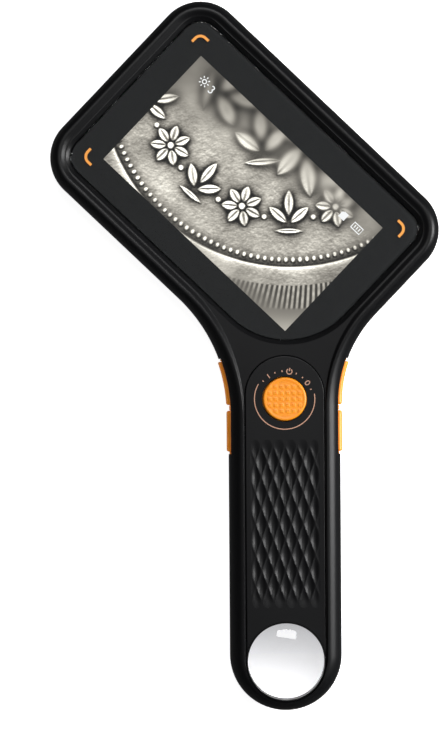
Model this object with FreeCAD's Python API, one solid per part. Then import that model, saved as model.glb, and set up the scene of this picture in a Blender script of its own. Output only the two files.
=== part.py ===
import FreeCAD
import Part
import os
from math import cos, radians, sin

# A hand-held digital microscope: a turned screen head on a straight handle. All sizes are in
# millimetres. It lies on its back, so +Z points out of the screen and Z = 0 is the table.
# +Y runs up the handle. X = 0 and Y = 0 are the middle of the whole outline.

Vector = FreeCAD.Vector
up = Vector(0, 0, 1)
origin = Vector(0, 0, 0)

# Outline of the housing, seen from the front
head_length = 127.0
head_width = 86.6
head_corner = 15.8
head_angle = 43.8
handle_offset = 13.7
handle_reach = 164.3
handle_width = 39.9
left_neck_radius = 56.8
right_neck_radius = 45.0
grip_start = 22.8

# Heights above the table
head_back = 6.0
parting_height = 14.0
crest_height = 23.0
wall = 2.0

# Rounded sides: how far they draw in from the parting line to the front and back faces
head_draw = 3.3
handle_draw = 4.9
outer_stations = (0, 30, 60, 90)
inner_stations = (0, 45, 90)

# Dished front face inside the raised crest
crest_land = 0.4
dish_depth = 0.8
dish_run_head = 2.2
dish_run_handle = 0.3

# Glass, its printed border and the display under it
glass_margin_along = 16.3
glass_margin_across = 16.1
glass_corner = 7.0
glass_low_corner = 28.0
glass_thickness = 1.4
glass_recess = 0.2
glass_gap = 0.25
groove_width = 1.8
groove_depth = 1.1
border_thickness = 0.2
ledge_width = 3.0
ledge_thickness = 1.4
window_margin_along = 21.9
window_margin_across = 20.1
window_shift_along = -0.3
window_shift_across = -0.5
display_margin_along = 5.7
display_margin_across = 6.6
display_thickness = 2.0
backlight_thickness = 1.6
display_gap = 0.3

# Front panel of the handle with its sunk diamond grip
panel_radius = 14.1
panel_start = 8.4
panel_thickness = 1.6
panel_gap = 0.2
bed_width = 1.6
bed_thickness = 1.4
diamond_pitch = 4.25
diamond_row = 5.55
diamond_columns = 5
diamond_low = 24.0
diamond_start = 23.3
diamond_width = 3.9
diamond_height = 10.2
diamond_depth = 0.6
faint_share = 0.5

# Round power button
button_radius = 7.7
button_start = 1.3
button_gap = 0.35
button_proud = 0.7
button_round = 0.9
button_flange = 0.9
button_flange_thickness = 0.9
button_slack = 0.3
button_stem = 0.3
button_travel = 0.6

# Side keys and the strips that frame them
upper_key_rise = 3.6
upper_key_length = 15.4
key_spacing = 2.1
lower_key_length = 14.5
key_half_height = 4.0
key_proud = 0.7
key_gap = 0.25
key_travel = 0.4
key_ear = 0.8
key_ear_thickness = 0.8
key_rib = 3.0
strip_margin = 0.8
strip_recess = 0.4
strip_gap = 0.1
strip_ear = 0.9
strip_ear_thickness = 0.9
strip_ear_half_height = 3.0
strip_ear_depth = 2.8
key_slack = 0.3
key_reach = 5.2

# Magnifier lens through the end of the handle
loupe_drop = 2.05
loupe_radius = 13.6
loupe_rim = 0.5
loupe_edge = 3.0
loupe_bulge = 2.2
loupe_seat = 12.6
loupe_gap = 0.2
sleeve_wall = 1.8

# Camera at the back of the head
hood_bore = 15.4
hood_radius = 20.5
hood_lip = 0.9
hood_flange = 3.5
hood_flange_thickness = 1.4
hood_gap = 0.1
light_window_radius = 17.0
light_window_height = 7.2
light_window_thickness = 1.2
led_board_height = 10.0
led_board_thickness = 1.0
led_board_radius = 18.4
led_board_hole = 8.6
led_count = 8
led_circle = 12.8
led_length = 3.5
led_width = 2.8
led_thickness = 0.9
barrel_radius = 6.1
barrel_height = 9.0
barrel_length = 4.1
barrel_bore = 3.2
lens_radius = 4.6
lens_thickness = 1.6
lens_curve = 9.2
holder_wall = 1.65
holder_flange = 18.0
holder_flange_thickness = 1.4
holder_height = 10.4
sensor_size = 10.0
sensor_thickness = 0.9
fit_gap = 0.05

# Boards, battery, sockets and switches
board_thickness = 1.2
main_board_height = 14.2
main_board_inset = 2.7
main_board_high = 38.0
main_board_width = 48.0
board_post = 2.6
board_post_inset = 4.0
usb_width = 8.94
usb_height = 3.26
usb_depth = 7.3
usb_wall = 0.3
usb_back = 1.0
usb_shift = -10.0
card_width = 13.4
card_height = 1.6
card_depth = 13.0
card_shift = 10.0
card_slot_height = 1.0
card_back = 1.0
port_gap = 0.3
socket_inset = 0.6
battery_clearance = 2.0
battery_width = 27.0
battery_thickness = 10.0
battery_low = 24.0
battery_round = 2.5
pad_thickness = 0.8
power_board_length = 20.0
power_board_width = 18.6
power_board_reach = 12.6
switch_size = 6.0
switch_body = 2.4
switch_plunger = 0.8
switch_plunger_radius = 1.7
switch_gap = 0.1
key_board_start = 28.8
key_board_length = 33.0
key_board_height = 10.0
key_rail_thickness = 2.0

# Screws that close the housing from the back, and the ones that hold the main board
screw_inset_along = 10.5
screw_inset_across = 9.8
screw_handle_spread = 9.0
screw_handle_place = 19.0
screw_head_radius = 2.3
screw_head_thickness = 1.3
screw_shank_radius = 1.1
screw_head_height = 7.1
screw_length = 10.0
screw_gap = 0.3
boss_radius = 4.0
front_boss_radius = 3.2
small_screw_head = 1.9
small_screw_thickness = 1.1
small_screw_shank = 0.9
small_screw_length = 5.0

# Places worked out from the sizes above
turn = radians(head_angle)
along = Vector(cos(turn), -sin(turn), 0)
across = Vector(-sin(turn), -cos(turn), 0)
corner_along = (head_length / 2 - head_corner) * sin(turn)
corner_across = (head_width / 2 - head_corner) * cos(turn)
head_rise = corner_along + corner_across + head_corner
head_y = (handle_reach + handle_width / 2 - head_rise) / 2
head_center = Vector(0, head_y, 0)
end_y = head_y - handle_reach
handle_half = handle_width / 2
loupe_center = Vector(handle_offset, end_y - loupe_drop, 0)
dish_height = crest_height - dish_depth
glass_top = dish_height - glass_recess
glass_base = glass_top - glass_thickness
border_base = glass_base - border_thickness
display_base = border_base - display_thickness
backlight_base = display_base - backlight_thickness
ledge_base = border_base - ledge_thickness
panel_base = dish_height - panel_thickness
bed_base = panel_base - bed_thickness
board_top = main_board_height + board_thickness
strip_half_height = key_half_height + key_gap + strip_margin
main_board_low = main_board_inset - head_length / 2
screw_along = head_length / 2 - screw_inset_along
screw_across = head_width / 2 - screw_inset_across

# Glass, window and display follow the head
glass_length = head_length - glass_margin_along
glass_width = head_width - glass_margin_across
window_length = glass_length - window_margin_along
window_width = glass_width - window_margin_across
display_length = window_length + display_margin_along
display_width = window_width + display_margin_across

# Places up the handle from its end. The neck starts half the head's length from its middle, and
# what lies near it is placed from there, so a longer handle only changes the grip and the battery.
neck_place = handle_reach - head_length / 2
grip_reach = neck_place - grip_start
panel_top = neck_place - panel_start
button_place = panel_top - button_start
upper_key_high = neck_place + upper_key_rise
upper_key_low = upper_key_high - upper_key_length
lower_key_high = upper_key_low - key_spacing
lower_key_low = lower_key_high - lower_key_length
power_board_low = button_place - power_board_reach
key_board_low = neck_place - key_board_start
battery_length = key_board_low - battery_clearance - battery_low
diamond_top = panel_top - diamond_start
diamond_rows = int((diamond_top - diamond_low) / diamond_row) + 1
power_flange_base = bed_base - button_slack - button_flange_thickness
power_switch_tip = power_flange_base - button_stem - button_travel - switch_gap


def line(start, finish):
    return Part.LineSegment(start, finish).toShape()


def arc(start, middle, finish):
    return Part.Arc(start, middle, finish).toShape()


def disc(radius, x, y, base, height):
    return Part.makeCylinder(radius, height, Vector(x, y, base))


def ring(outer, inner, x, y, base, height):
    return disc(outer, x, y, base, height).cut(disc(inner, x, y, base, height))


def turned(profile, x, y):
    points = [Vector(radius, 0, height) for radius, height in profile]
    face = Part.Face(Part.makePolygon(points + [points[0]]))
    shape = face.revolve(origin, up, 360)
    shape.translate(Vector(x, y, 0))
    return shape


# Local axes of the head: x runs along its long side, y up across it, z is the height.
def in_head(shape):
    shape.rotate(origin, up, -head_angle)
    shape.translate(head_center)
    return shape


def block(length, width, height, x, y, base):
    return Part.makeBox(length, width, height, Vector(x - length / 2, y - width / 2, base))


def head_block(length, width, height, x, y, base):
    return in_head(block(length, width, height, x, y, base))


def handle_block(length, width, height, x, y, base):
    return block(length, width, height, handle_offset + x, end_y + y, base)


def neck_arc(side, normal, distance, half, radius):
    x = handle_offset + side * (half + radius)
    y = head_y + (distance + radius - x * normal.x) / normal.y
    center = Vector(x, y, 0)
    inward = Vector(-side, 0, 0) - normal
    inward.normalize()
    return center - normal * radius, center + inward * radius, Vector(x - side * radius, y, 0)


def corner_arc(length_sign, width_sign, half_length, half_width, radius):
    center = head_center + along * (length_sign * (half_length - radius))
    center = center + across * (width_sign * (half_width - radius))
    outward = along * length_sign + across * width_sign
    outward.normalize()
    beside = center + along * (length_sign * radius)
    below = center + across * (width_sign * radius)
    return beside, center + outward * radius, below


# One closed outline of the whole housing, drawn in by its own amount on head and handle.
def outline(head_inset, handle_inset, height):
    half_length = head_length / 2 - head_inset
    half_width = head_width / 2 - head_inset
    radius = head_corner - head_inset
    half = handle_half - handle_inset
    growth = (head_inset + handle_inset) / 2
    right = neck_arc(1, along, half_length, half, right_neck_radius + growth)
    left = neck_arc(-1, across, half_width, half, left_neck_radius + growth)
    lower_right = corner_arc(1, -1, half_length, half_width, radius)
    top = corner_arc(-1, -1, half_length, half_width, radius)
    upper_left = corner_arc(-1, 1, half_length, half_width, radius)
    end_right = Vector(handle_offset + half, end_y, 0)
    end_left = Vector(handle_offset - half, end_y, 0)
    end_low = Vector(handle_offset, end_y - half, 0)
    edges = [
        line(end_right, right[2]),
        arc(right[2], right[1], right[0]),
        line(right[0], lower_right[0]),
        arc(lower_right[0], lower_right[1], lower_right[2]),
        line(lower_right[2], top[2]),
        arc(top[2], top[1], top[0]),
        line(top[0], upper_left[0]),
        arc(upper_left[0], upper_left[1], upper_left[2]),
        line(upper_left[2], left[0]),
        arc(left[0], left[1], left[2]),
        line(left[2], end_left),
        arc(end_left, end_low, end_right),
    ]
    wire = Part.Wire(edges)
    wire.translate(Vector(0, 0, height))
    return wire


# A long round-ended outline down the handle.
def obround(radius, low_y, high_y, height):
    left_low = Vector(handle_offset - radius, low_y, height)
    left_high = Vector(handle_offset - radius, high_y, height)
    right_low = Vector(handle_offset + radius, low_y, height)
    right_high = Vector(handle_offset + radius, high_y, height)
    edges = [
        line(right_low, right_high),
        arc(right_high, Vector(handle_offset, high_y + radius, height), left_high),
        line(left_high, left_low),
        arc(left_low, Vector(handle_offset, low_y - radius, height), right_low),
    ]
    return Part.Wire(edges)


# Quarter-round side of a shell, from the parting line to a flat face. A skin of 0 is the
# outer surface, a positive skin lies inside it and a negative one outside.
def side_form(direction, depth, skin, stations):
    sections = []
    for station in stations:
        draw = 1 - cos(radians(station))
        rise = direction * (depth - skin) * sin(radians(station))
        sections.append(outline(skin + head_draw * draw, skin + handle_draw * draw, parting_height + rise))
    return Part.makeLoft(sections, True, True)


def grip_form(skin, stations):
    sections = []
    for station in stations:
        draw = 1 - cos(radians(station))
        drop = (parting_height - skin) * sin(radians(station))
        radius = handle_half - skin - handle_draw * draw
        sections.append(obround(radius, end_y, end_y + grip_reach, parting_height - drop))
    return Part.makeLoft(sections, True, True)


def front_form(skin, stations=outer_stations):
    return side_form(1, crest_height - parting_height, skin, stations)


def back_form(skin, stations=outer_stations):
    head_back_form = side_form(-1, parting_height - head_back, skin, stations)
    return head_back_form.fuse(grip_form(skin, stations))


def envelope(skin):
    return front_form(skin).fuse(back_form(skin))


# Rounded rectangle in the head's local axes; the low corner faces the handle.
def rounded_outline(length, width, radius, low_radius, x, y, height):
    corners = ((1, 1, radius), (-1, 1, radius), (-1, -1, radius), (1, -1, low_radius))
    arcs = []
    for length_sign, width_sign, corner in corners:
        center_x = x + length_sign * (length / 2 - corner)
        center_y = y + width_sign * (width / 2 - corner)
        center = Vector(center_x, center_y, height)
        beside = center + Vector(length_sign * corner, 0, 0)
        above = center + Vector(0, width_sign * corner, 0)
        diagonal = Vector(length_sign, width_sign, 0)
        diagonal.normalize()
        middle = center + diagonal * corner
        if length_sign == width_sign:
            arcs.append((beside, middle, above))
        else:
            arcs.append((above, middle, beside))
    edges = []
    for index, points in enumerate(arcs):
        following = arcs[(index + 1) % len(arcs)]
        edges.append(arc(points[0], points[1], points[2]))
        edges.append(line(points[2], following[0]))
    return Part.Wire(edges)


def glass_outline(spread, height):
    return rounded_outline(
        glass_length + 2 * spread, glass_width + 2 * spread, glass_corner + spread,
        glass_low_corner + spread, 0, 0, height)


def glass_prism(spread, base, height):
    return in_head(Part.Face(glass_outline(spread, base)).extrude(Vector(0, 0, height)))


def window_block(spread, base, height):
    return head_block(
        window_length + 2 * spread, window_width + 2 * spread, height,
        window_shift_along, window_shift_across, base)


def display_block(spread, base, height):
    return head_block(
        display_length + 2 * spread, display_width + 2 * spread, height,
        window_shift_along, window_shift_across, base)


def panel_prism(spread, base, height):
    radius = panel_radius + spread
    outline_wire = obround(radius, loupe_center.y, end_y + panel_top, base)
    return Part.Face(outline_wire).extrude(Vector(0, 0, height))


def dish():
    rim = outline(head_draw + crest_land, handle_draw + crest_land, crest_height)
    floor = outline(
        head_draw + crest_land + dish_run_head, handle_draw + crest_land + dish_run_handle, dish_height)
    return Part.makeLoft([floor, rim], True, True)


def glass_pocket():
    flare = Part.makeLoft(
        [glass_outline(glass_gap, dish_height - groove_depth), glass_outline(groove_width, dish_height)],
        True, True)
    seat = Part.Face(glass_outline(glass_gap, border_base)).extrude(Vector(0, 0, glass_thickness))
    return in_head(flare.fuse(seat))


def head_screw_places():
    places = []
    for length_sign in (-1, 1):
        for width_sign in (-1, 1):
            place = along * (length_sign * screw_along) + across * (width_sign * screw_across)
            places.append(head_center + place)
    return places


def handle_screw_places():
    y = end_y + screw_handle_place
    return [Vector(handle_offset + side * screw_handle_spread, y, 0) for side in (-1, 1)]


def board_post_places():
    middle = (main_board_low + main_board_high) / 2
    reach = (main_board_high - main_board_low) / 2 - board_post_inset
    places = []
    for length_sign in (-1, 1):
        for width_sign in (-1, 1):
            along_place = middle + length_sign * reach
            across_place = width_sign * (main_board_width / 2 - board_post_inset)
            places.append(head_center + along * along_place + across * across_place)
    return places


# The opening in one side of the housing that a key strip fills, with some clearance all round.
def strip_block(side, spread):
    low = lower_key_low - key_gap - strip_margin - spread
    high = upper_key_high + key_gap + strip_margin + spread
    half_height = strip_half_height + spread
    return handle_block(
        handle_half, high - low, 2 * half_height, side * handle_half, (low + high) / 2,
        parting_height - half_height)


def key_block(side, low, high, spread):
    half_height = key_half_height + spread
    return handle_block(
        handle_half, high - low + 2 * spread, 2 * half_height, side * handle_half, (low + high) / 2,
        parting_height - half_height)


def port_block(width, height, shift, base):
    wall_x = -head_length / 2
    return head_block(2 * head_draw, width, height, wall_x, shift, base)


def usb_prism(spread, x, length):
    radius = usb_height / 2 + spread
    half_flat = (usb_width - usb_height) / 2
    middle = board_top + usb_height / 2
    body = block(length, 2 * half_flat, 2 * radius, x + length / 2, usb_shift, middle - radius)
    for side in (-1, 1):
        start = Vector(x, usb_shift + side * half_flat, middle)
        end = Part.makeCylinder(radius, length, start, Vector(1, 0, 0))
        body = body.fuse(end)
    return in_head(body.removeSplitter())


def front_housing():
    outer = front_form(0)
    shell = outer.cut(front_form(wall, inner_stations))
    extras = [
        glass_prism(ledge_width, ledge_base, dish_height - ledge_base),
        panel_prism(bed_width, bed_base, dish_height - bed_base),
        disc(
            loupe_radius + loupe_rim + loupe_gap + sleeve_wall, loupe_center.x, loupe_center.y,
            parting_height, dish_height - parting_height),
    ]
    for place in head_screw_places() + handle_screw_places():
        extras.append(disc(front_boss_radius, place.x, place.y, parting_height, dish_height - parting_height))
    shell = shell.fuse([extra.common(outer) for extra in extras])
    cuts = [
        dish(),
        glass_pocket(),
        display_block(display_gap, parting_height, border_base - parting_height),
        panel_prism(panel_gap, panel_base, crest_height - panel_base),
        disc(
            button_radius + button_gap, handle_offset, end_y + button_place, bed_base,
            crest_height - bed_base),
        disc(
            loupe_radius + loupe_rim + loupe_gap, loupe_center.x, loupe_center.y,
            parting_height, crest_height - parting_height),
        usb_prism(port_gap, -head_length / 2 - wall, 2 * wall + head_draw),
        port_block(
            card_width - 2 * port_gap, card_slot_height, card_shift,
            board_top + (card_height - card_slot_height) / 2),
    ]
    for side in (-1, 1):
        cuts.append(strip_block(side, strip_gap))
    for place in head_screw_places() + handle_screw_places():
        cuts.append(disc(screw_shank_radius + fit_gap, place.x, place.y, parting_height, screw_length))
    for cut in cuts:
        shell = shell.cut(cut)
    return shell


def rear_housing():
    outer = back_form(0)
    shell = outer.cut(back_form(wall, inner_stations))
    floor = head_back + wall
    extras = [
        disc(
            loupe_radius + loupe_rim + loupe_gap + sleeve_wall, loupe_center.x, loupe_center.y,
            0, parting_height),
    ]
    for place in head_screw_places() + handle_screw_places():
        extras.append(disc(boss_radius, place.x, place.y, 0, parting_height))
    for place in board_post_places():
        extras.append(disc(board_post, place.x, place.y, head_back, main_board_height - head_back))
    board_end = power_board_low + power_board_length
    for side in (-1, 1):
        for y in (power_board_low + board_post, board_end - board_post):
            x = handle_offset + side * (power_board_width / 2 - board_post)
            extras.append(disc(board_post, x, end_y + y, 0, power_board_base()))
        extras.append(handle_block(
            key_rail_thickness, key_board_length, key_board_base(), side * key_board_place(),
            key_board_low + key_board_length / 2, 0))
    reach = outer.fuse(front_form(wall, inner_stations))
    shell = shell.fuse([extra.common(reach) for extra in extras])
    cuts = [
        disc(loupe_radius, loupe_center.x, loupe_center.y, 0, parting_height),
        disc(
            loupe_radius + loupe_rim + loupe_gap, loupe_center.x, loupe_center.y,
            loupe_seat, parting_height - loupe_seat),
        disc(hood_radius + hood_gap, head_center.x, head_center.y, head_back, floor - head_back),
    ]
    for side in (-1, 1):
        cuts.append(strip_block(side, strip_gap))
    for place in head_screw_places() + handle_screw_places():
        cuts.append(disc(
            screw_head_radius + screw_gap, place.x, place.y, 0, screw_head_height + screw_head_thickness))
        cuts.append(disc(screw_shank_radius + screw_gap, place.x, place.y, 0, parting_height))
    for place in board_post_places():
        cuts.append(disc(
            small_screw_shank + fit_gap, place.x, place.y, board_top - small_screw_length,
            small_screw_length))
    for cut in cuts:
        shell = shell.cut(cut)
    return shell


def screen_glass():
    return glass_prism(0, glass_base, glass_thickness)


def screen_border():
    return glass_prism(0, border_base, border_thickness).cut(window_block(0, border_base, border_thickness))


def display_panel():
    return display_block(0, display_base, display_thickness)


def backlight():
    return display_block(0, backlight_base, backlight_thickness)


def diamond(x, y, share):
    half_width = share * diamond_width / 2
    half_height = share * diamond_height / 2
    top = dish_height
    rim = [
        Vector(x + half_width, y, top), Vector(x, y + half_height, top),
        Vector(x - half_width, y, top), Vector(x, y - half_height, top),
    ]
    tip = Vector(x, y, top - share * diamond_depth)
    faces = [Part.Face(Part.makePolygon(rim + [rim[0]]))]
    for index, start in enumerate(rim):
        finish = rim[(index + 1) % len(rim)]
        faces.append(Part.Face(Part.makePolygon([start, finish, tip, start])))
    return Part.makeSolid(Part.makeShell(faces))


# Rows of sunk diamonds, each row shifted by half a pitch; the rows past both ends fade out.
def diamond_grip():
    shapes = []
    for row in range(-1, diamond_rows + 1):
        faint = row < 0 or row == diamond_rows
        share = faint_share if faint else 1
        columns = diamond_columns + row % 2
        y = end_y + diamond_top - row * diamond_row
        for column in range(columns):
            x = handle_offset + (column - (columns - 1) / 2) * diamond_pitch
            shapes.append(diamond(x, y, share))
    return shapes


def grip_panel():
    panel = panel_prism(0, panel_base, panel_thickness)
    panel = panel.cut(disc(
        button_radius + button_gap, handle_offset, end_y + button_place, panel_base, panel_thickness))
    panel = panel.cut(disc(
        loupe_radius + loupe_rim + strip_gap, loupe_center.x, loupe_center.y, panel_base, panel_thickness))
    panel = max(panel.Solids, key=lambda solid: solid.Volume)
    return panel.cut(diamond_grip())


def power_button():
    x = handle_offset
    y = end_y + button_place
    top = dish_height + button_proud
    flange_top = bed_base - button_slack
    flange_base = power_flange_base
    cap = disc(button_radius, x, y, flange_top, top - flange_top)
    cap = cap.makeFillet(button_round, [edge for edge in cap.Edges if edge.BoundBox.ZMin > top - fit_gap])
    flange = disc(button_radius + button_flange, x, y, flange_base, button_flange_thickness + fit_gap)
    stem = disc(switch_plunger_radius, x, y, flange_base - button_stem, button_stem)
    return cap.fuse(flange).fuse(stem)


def power_board_base():
    return power_switch_tip - switch_plunger - switch_body - board_thickness


def power_board():
    return handle_block(
        power_board_width, power_board_length, board_thickness, 0,
        power_board_low + power_board_length / 2, power_board_base())


def power_switch():
    base = power_board_base() + board_thickness
    body = handle_block(switch_size, switch_size, switch_body, 0, button_place, base)
    plunger = disc(
        switch_plunger_radius, handle_offset, end_y + button_place, base + switch_body, switch_plunger)
    return body.fuse(plunger)


# Distance from the handle's axis to the outer face of the key boards.
def key_board_place():
    tip = handle_half - key_reach - key_travel - switch_gap
    return tip - switch_plunger - switch_body - board_thickness / 2


def key_board_base():
    return parting_height - key_board_height / 2


def key_board(side):
    return handle_block(
        board_thickness, key_board_length, key_board_height, side * key_board_place(),
        key_board_low + key_board_length / 2, key_board_base())


def key_ranges():
    return ((upper_key_low, upper_key_high), (lower_key_low, lower_key_high))


def key_switches(side):
    face = key_board_place() + board_thickness / 2
    switches = []
    for low, high in key_ranges():
        y = (low + high) / 2
        half = switch_size / 2
        x = side * (face + switch_body / 2)
        body = handle_block(switch_body, switch_size, switch_size, x, y, parting_height - half)
        start = Vector(handle_offset + side * (face + switch_body), end_y + y, parting_height)
        plunger = Part.makeCylinder(switch_plunger_radius, switch_plunger, start, Vector(side, 0, 0))
        switches.append(body.fuse(plunger))
    return Part.makeCompound(switches)


# A prism of the housing's outline, drawn in by one amount all round.
def outline_prism(inset, base, height):
    return Part.Face(outline(inset, inset, base)).extrude(Vector(0, 0, height))


# What lies in a block between the rounded skin at some depth and an upright wall further in.
def layer(block_shape, outer, inset):
    box = block_shape.BoundBox
    piece = block_shape.common(outer).cut(outline_prism(inset, box.ZMin, box.ZLength))
    return max(piece.Solids, key=lambda solid: solid.Volume)


def upright_layer(block_shape, outer_inset, inner_inset):
    box = block_shape.BoundBox
    return layer(block_shape, outline_prism(outer_inset, box.ZMin, box.ZLength), inner_inset)


def side_block(side, low, high, half_height):
    return handle_block(
        handle_half, high - low, 2 * half_height, side * handle_half, (low + high) / 2,
        parting_height - half_height)


def key_strip(side, skin):
    back = strip_ear_depth + strip_ear_thickness
    low = lower_key_low - key_gap - strip_margin - strip_ear
    high = upper_key_high + key_gap + strip_margin + strip_ear
    face = layer(strip_block(side, 0), skin, back)
    ears = upright_layer(side_block(side, low, high, strip_ear_half_height), strip_ear_depth, back)
    strip = face.fuse(ears)
    for key_low, key_high in key_ranges():
        strip = strip.cut(key_block(side, key_low, key_high, key_gap))
    return strip


def side_key(side, low, high, skin):
    front = strip_ear_depth + strip_ear_thickness + key_slack
    back = front + key_ear_thickness
    face = layer(key_block(side, low, high, 0), skin, back)
    ears = upright_layer(side_block(side, low - key_ear, high + key_ear, key_half_height), front, back)
    rib = handle_block(
        handle_half, key_rib, key_rib, side * (handle_half - key_reach + handle_half / 2),
        (low + high) / 2, parting_height - key_rib / 2)
    rib = rib.common(outline_prism(front, rib.BoundBox.ZMin, key_rib))
    return face.fuse([ears, rib])


# Both faces of the magnifier are spherical caps on a plain round edge.
def loupe_lens():
    x = loupe_center.x
    y = loupe_center.y
    edge = disc(loupe_radius + loupe_rim, x, y, loupe_seat, loupe_edge)
    sphere = (loupe_radius ** 2 + loupe_bulge ** 2) / (2 * loupe_bulge)
    top = loupe_seat + loupe_edge
    upper = Part.makeSphere(sphere, Vector(x, y, top + loupe_bulge - sphere))
    upper = upper.common(disc(loupe_radius, x, y, top, loupe_bulge))
    lower = Part.makeSphere(sphere, Vector(x, y, loupe_seat - loupe_bulge + sphere))
    lower = lower.common(disc(loupe_radius, x, y, loupe_seat - loupe_bulge, loupe_bulge))
    return edge.fuse([upper, lower])


def loupe_ring():
    base = loupe_seat + loupe_edge
    return ring(
        loupe_radius + loupe_rim, loupe_radius, loupe_center.x, loupe_center.y, base, dish_height - base)


def lens_hood():
    floor = head_back + wall
    profile = (
        (hood_bore, 0),
        (hood_radius - hood_lip, 0),
        (hood_radius, hood_lip),
        (hood_radius, floor),
        (hood_radius + hood_flange, floor),
        (hood_radius + hood_flange, floor + hood_flange_thickness),
        (led_board_radius + hood_gap, floor + hood_flange_thickness),
        (led_board_radius + hood_gap, led_board_height),
        (light_window_radius + hood_gap, led_board_height),
        (light_window_radius + hood_gap, light_window_height),
        (hood_bore, light_window_height),
    )
    return turned(profile, head_center.x, head_center.y)


def light_window():
    return disc(
        light_window_radius, head_center.x, head_center.y, light_window_height,
        light_window_thickness)


def led_board():
    return ring(
        led_board_radius, led_board_hole, head_center.x, head_center.y, led_board_height, led_board_thickness)


def light_emitters():
    chips = []
    for index in range(led_count):
        chip = block(led_width, led_length, led_thickness, led_circle, 0, led_board_height - led_thickness)
        chip.rotate(origin, up, 360 * (index + 0.5) / led_count)
        chip.translate(head_center)
        chips.append(chip)
    return Part.makeCompound(chips)


def lens_barrel():
    x = head_center.x
    y = head_center.y
    body = disc(barrel_radius, x, y, barrel_height, barrel_length)
    body = body.cut(disc(barrel_bore, x, y, barrel_height, barrel_length))
    return body.cut(disc(lens_radius + fit_gap, x, y, barrel_height, lens_thickness + barrel_bore / 2))


def camera_lens():
    base = barrel_height + barrel_bore / 2
    disc_shape = disc(lens_radius, head_center.x, head_center.y, base, lens_thickness)
    sphere_center = Vector(head_center.x, head_center.y, base + lens_curve - fit_gap)
    sphere = Part.makeSphere(lens_curve, sphere_center)
    return disc_shape.common(sphere)


def lens_holder():
    x = head_center.x
    y = head_center.y
    flange_base = main_board_height - holder_flange_thickness
    flange = head_block(holder_flange, holder_flange, holder_flange_thickness, 0, 0, flange_base)
    tube = disc(barrel_radius + holder_wall, x, y, holder_height, flange_base - holder_height)
    body = flange.fuse(tube)
    body = body.cut(disc(barrel_radius + fit_gap, x, y, holder_height, main_board_height - holder_height))
    pocket = sensor_size + 2 * port_gap
    pocket_base = main_board_height - sensor_thickness
    return body.cut(head_block(pocket, pocket, sensor_thickness, 0, 0, pocket_base))


def image_sensor():
    return head_block(sensor_size, sensor_size, sensor_thickness, 0, 0, main_board_height - sensor_thickness)


def main_board():
    length = main_board_high - main_board_low
    board = head_block(
        length, main_board_width, board_thickness, (main_board_low + main_board_high) / 2, 0,
        main_board_height)
    for place in board_post_places():
        hole = disc(small_screw_shank + fit_gap, place.x, place.y, main_board_height, board_thickness)
        board = board.cut(hole)
    return board


def usb_socket():
    mouth = -head_length / 2 + socket_inset
    shell = usb_prism(0, mouth, usb_depth)
    shell = shell.cut(usb_prism(-usb_wall, mouth, usb_depth - usb_wall))
    tongue_length = usb_depth - usb_back
    tongue = head_block(
        tongue_length, usb_width - usb_height, usb_wall * 2, mouth + usb_depth - tongue_length / 2, usb_shift,
        board_top + usb_height / 2 - usb_wall)
    return shell.fuse(tongue)


def card_socket():
    start = main_board_low
    shell = head_block(card_depth, card_width, card_height, start + card_depth / 2, card_shift, board_top)
    slot_base = board_top + (card_height - card_slot_height) / 2
    slot_length = card_depth - card_back
    slot = head_block(
        slot_length, card_width - 4 * port_gap, card_slot_height, start + slot_length / 2, card_shift,
        slot_base)
    return shell.cut(slot)


def battery():
    base = wall + pad_thickness
    cell = handle_block(
        battery_width, battery_length, battery_thickness, 0, battery_low + battery_length / 2, base)
    edges = [
        edge for edge in cell.Edges
        if edge.BoundBox.YLength > battery_length / 2
    ]
    return cell.makeFillet(battery_round, edges)


def battery_pad():
    inset = 2 * battery_round
    return handle_block(
        battery_width - inset, battery_length - inset, pad_thickness, 0,
        battery_low + battery_length / 2, wall)


def screw(x, y, head_base, head_radius, head_thickness, shank_radius, length, direction):
    head = disc(head_radius, x, y, head_base, head_thickness)
    if direction > 0:
        return head.fuse(disc(shank_radius, x, y, head_base + head_thickness, length))
    return head.fuse(disc(shank_radius, x, y, head_base - length, length))


def housing_screws():
    screws = []
    for place in head_screw_places() + handle_screw_places():
        screws.append(screw(
            place.x, place.y, screw_head_height, screw_head_radius, screw_head_thickness,
            screw_shank_radius, screw_length, 1))
    return Part.makeCompound(screws)


def board_screws():
    screws = []
    for place in board_post_places():
        screws.append(screw(
            place.x, place.y, board_top, small_screw_head, small_screw_thickness,
            small_screw_shank, small_screw_length, -1))
    return Part.makeCompound(screws)


def build():
    key_skin = envelope(-key_proud)
    strip_skin = envelope(strip_recess)
    pieces = {
        "front_housing": front_housing(),
        "rear_housing": rear_housing(),
        "screen_glass": screen_glass(),
        "screen_border": screen_border(),
        "display_panel": display_panel(),
        "backlight": backlight(),
        "grip_panel": grip_panel(),
        "power_button": power_button(),
        "power_board": power_board(),
        "power_switch": power_switch(),
        "loupe_lens": loupe_lens(),
        "loupe_ring": loupe_ring(),
        "lens_hood": lens_hood(),
        "light_window": light_window(),
        "led_board": led_board(),
        "light_emitters": light_emitters(),
        "lens_barrel": lens_barrel(),
        "camera_lens": camera_lens(),
        "lens_holder": lens_holder(),
        "image_sensor": image_sensor(),
        "main_board": main_board(),
        "usb_socket": usb_socket(),
        "card_socket": card_socket(),
        "battery": battery(),
        "battery_pad": battery_pad(),
        "housing_screws": housing_screws(),
        "board_screws": board_screws(),
    }
    for side, name in ((-1, "left"), (1, "right")):
        pieces[name + "_key_strip"] = key_strip(side, strip_skin)
        pieces[name + "_key_board"] = key_board(side)
        pieces[name + "_key_switches"] = key_switches(side)
        pieces[name + "_upper_key"] = side_key(side, upper_key_low, upper_key_high, key_skin)
        pieces[name + "_lower_key"] = side_key(side, lower_key_low, lower_key_high, key_skin)
    return pieces


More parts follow.
